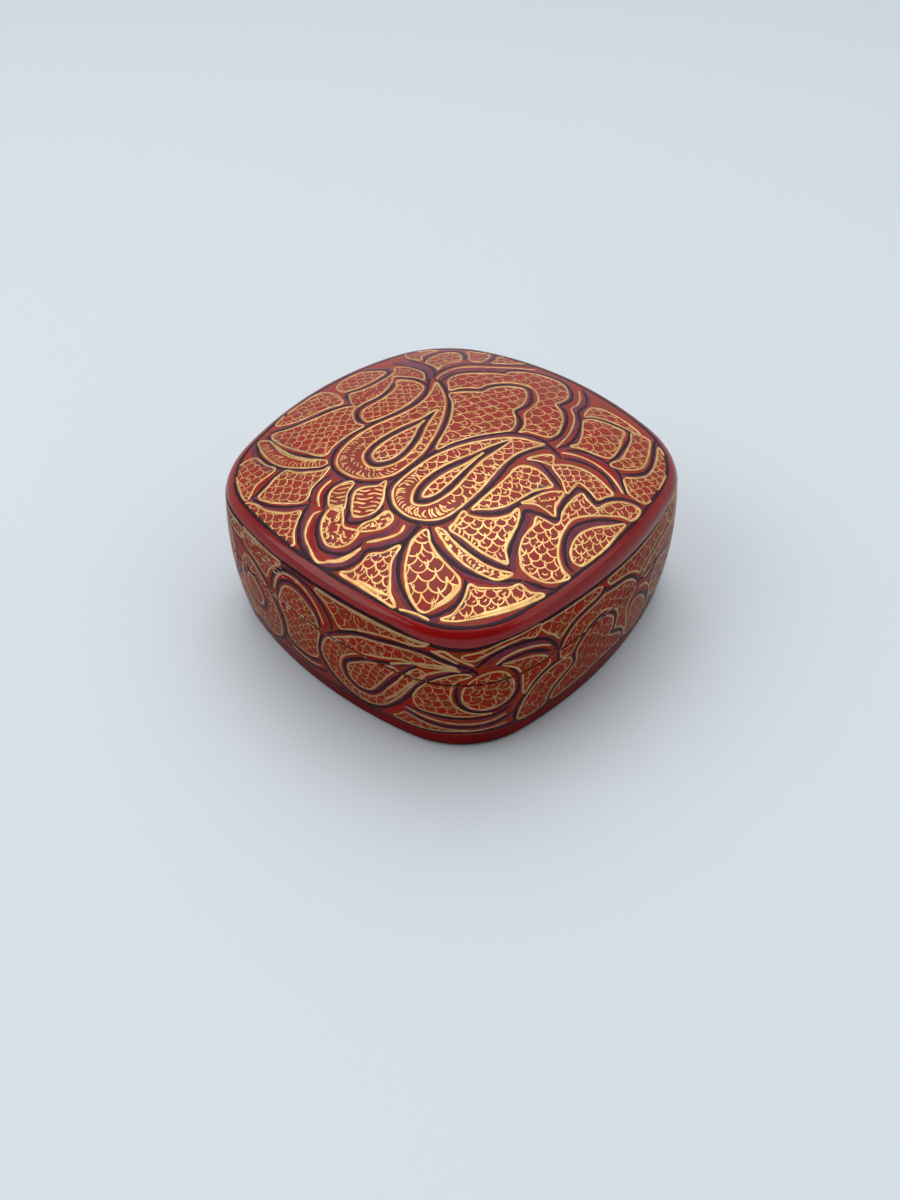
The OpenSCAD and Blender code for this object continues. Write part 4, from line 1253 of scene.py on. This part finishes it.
wall_mauve = [
    ([(3.4, 34.6), (7, 37), (11, 38), (15.6, 37.2), (20, 34.9), (23.2, 31.4)], 1.8),
    ([(4.8, 33.4), (8.6, 34.8), (12.8, 35.4), (17, 34.6)], 1.2),
    ([(-58, 40.6), (-54, 42.4), (-49, 42.6), (-45, 41.6)], 1.2),
    ([(-12.6, 39.4), (-8.4, 37.9), (-4, 36.2), (0.6, 34.6)], 1.0),
    ([(-40.6, 9), (-36, 6.8), (-31, 6.2)], 1.2),
    ([(-17.2, 15.2), (-12.4, 12.8), (-6, 11.1), (0, 10.9), (6, 11.6), (10.6, 13.8)], 1.3),
    ([(77, 36), (84, 35.9), (90, 33.4), (95, 37), (100, 40.2)], 1.2),
]
wall_red_lines = [
    ([(-60.4, 31), (-58.6, 35.4), (-55.2, 38.8), (-51, 39.6), (-46.6, 38.2), (-42.6, 34.4),
     (-40.8, 30)], 1.6),
    ([(-24.6, 15.4), (-22.2, 19), (-19.6, 23.2), (-16.6, 27.6)], 1.4),
    ([(-22.4, 9.8), (-18.6, 13.4), (-15.6, 17.8), (-13.8, 21)], 1.6),
    ([(23.2, 31), (23.7, 27.6), (23.4, 25.6)], 2.0),
    ([(-20, 10.4), (-16, 13.6), (-11, 12)], 1.6),
    ([(61, 24.6), (65, 22.2), (68, 17.6)], 1.2),
]


def on_lid_side(u, z, lift):
    """Place on the wall of the lid, never nearer the seam than SEAM_CUT"""
    return on_wall(NEAR + u, np.maximum(z, SEAM_Z + SEAM_CUT), lift)


def on_base_side(u, z, lift):
    return on_wall(NEAR + u, np.minimum(z, SEAM_Z - SEAM_CUT), lift)


def above(points):
    return points[:, 1] > SEAM_Z + SEAM_KEPT


def below(points):
    return points[:, 1] < SEAM_Z - SEAM_KEPT


wall_gold_outlines, wall_gold_fills = [], []
for one in wall_leaves:
    strokes = leaf(hand, *one)
    wall_gold_outlines.append((strokes[0][0], 0.6))
    for line, width in strokes[1:]:
        wall_gold_fills.append((line, width * (0.88 if line[0, 0] < 25 else 0.74)))
wall_gold_outlines += [(flowing(line), 0.75) for line in wall_gold_lines]
wall_dark = [(flowing(line), 1.15 if line[0][0] < 20 else 1.0) for line in wall_contours]
wall_mauve_lines = [(beside(line, 0.5 * width * hand.choice((-1, 1))), 0.8 * width)
                    for line, width in wall_dark]
u = np.arange(-ROUND / 4, ROUND / 4 + 0.5, 1.0)
wall_dark.append((np.stack([u, band_line(NEAR + u)], 1), 1.3))

# The paints on the walls are darker copies of those on the top, a painted shade, and their varnish
# is duller and shines less
shaded_side_gold = paint("shaded_side_gold", (0.48, 0.285, 0.125), (0.39, 0.215, 0.085), patch=420, gloss=0.40,
                  metal=1.0, shine=0.2)
side_dark = paint("side_dark", (0.028, 0.008, 0.012), (0.045, 0.012, 0.018), patch=300, gloss=0.2,
                  shine=0.02)
side_mauve = paint("side_mauve", (0.20, 0.034, 0.058), (0.14, 0.024, 0.040), patch=200, gloss=0.2,
                   shine=0.02)
side_red = paint("side_red", (0.38, 0.009, 0.007), (0.29, 0.009, 0.009), patch=300, gloss=0.16,
                 shine=0.02)
side_wash = paint("side_wash", (0.27, 0.060, 0.016), (0.32, 0.048, 0.015), patch=420, gloss=0.18,
                  shine=0.02)

# Pale flecks along the seam, partly chips where the pale filler shows and partly painted
# highlights on its edges, and painted sheen in streaks on the left shoulder: from and to
# along u, lowest and highest, and how many
chip_and_highlight_pale = paint("chip_and_highlight_pale", (0.82, 0.76, 0.66), (0.55, 0.40, 0.26), patch=900, gloss=0.5)
chipped_and_lit = (
    (-74, -36, 28.6, 28.8, 26),
    (34, 50, 28.6, 28.8, 8),
    (-74, -36, 27.6, 27.8, 9),
    (-82, -50, 37, 42.4, 46),
    (-26, -12, 28.6, 28.8, 4),
)
wall_chips_and_highlights = []
for first, last, low, high, count in chipped_and_lit:
    for _ in range(count):
        u, z = hand.uniform(first, last), hand.uniform(low, high)
        long = hand.uniform(0.5, 1.6) * hand.choice((1, 1, 1.8))
        lean = hand.uniform(-0.2, 0.2) if high - low < 1 else hand.uniform(-2, 2)
        run = [(u, z), (u + long / 2, z + lean * 0.3), (u + long, z + lean * 0.4)]
        wall_chips_and_highlights.append((flowing(run, 0.3), hand.uniform(0.22, 0.45)))


def both_halves(strokes):
    """The strokes, and the same again half way round the box"""
    return strokes + [(line + (ROUND / 2, 0), width) for line, width in strokes]


wall_coats = (
    ("wash", widened(wall_gold_outlines, 2.0), WASH_UP, side_wash, "painted_shell", True),
    ("red_bands", drawn_through(wall_red_lines), RED_UP, side_red, "painted_shell", False),
    ("mauve_bands", wall_mauve_lines + drawn_through(wall_mauve),
     MAUVE_UP, side_mauve, "dark_paint", False),
    ("contours", wall_dark, DARK_UP, side_dark, "dark_paint", False),
    ("gold_fills", wall_gold_fills, FILL_UP, shaded_side_gold, "gold_paint", True),
    ("gold_outlines", wall_gold_outlines, GOLD_UP, shaded_side_gold, "gold_paint", False),
    # Pale flecks: chips of filler, with painted highlights at the seam and painted sheen on the
    # shoulder
    ("chips_and_glints", wall_chips_and_highlights, CHIP_AND_HIGHLIGHT_UP, chip_and_highlight_pale, "painted_shell", True),
)
for name, strokes, up, finish, slot, fine in wall_coats:
    for part, body, keep, side in (("lid_side_", "lid", above, on_lid_side),
                                   ("base_side_", "base", below, on_base_side)):
        kept_strokes = both_halves(trimmed(strokes, keep))
        painted(part + name, kept_strokes, side, up, finish, body, slot, hand, fine)
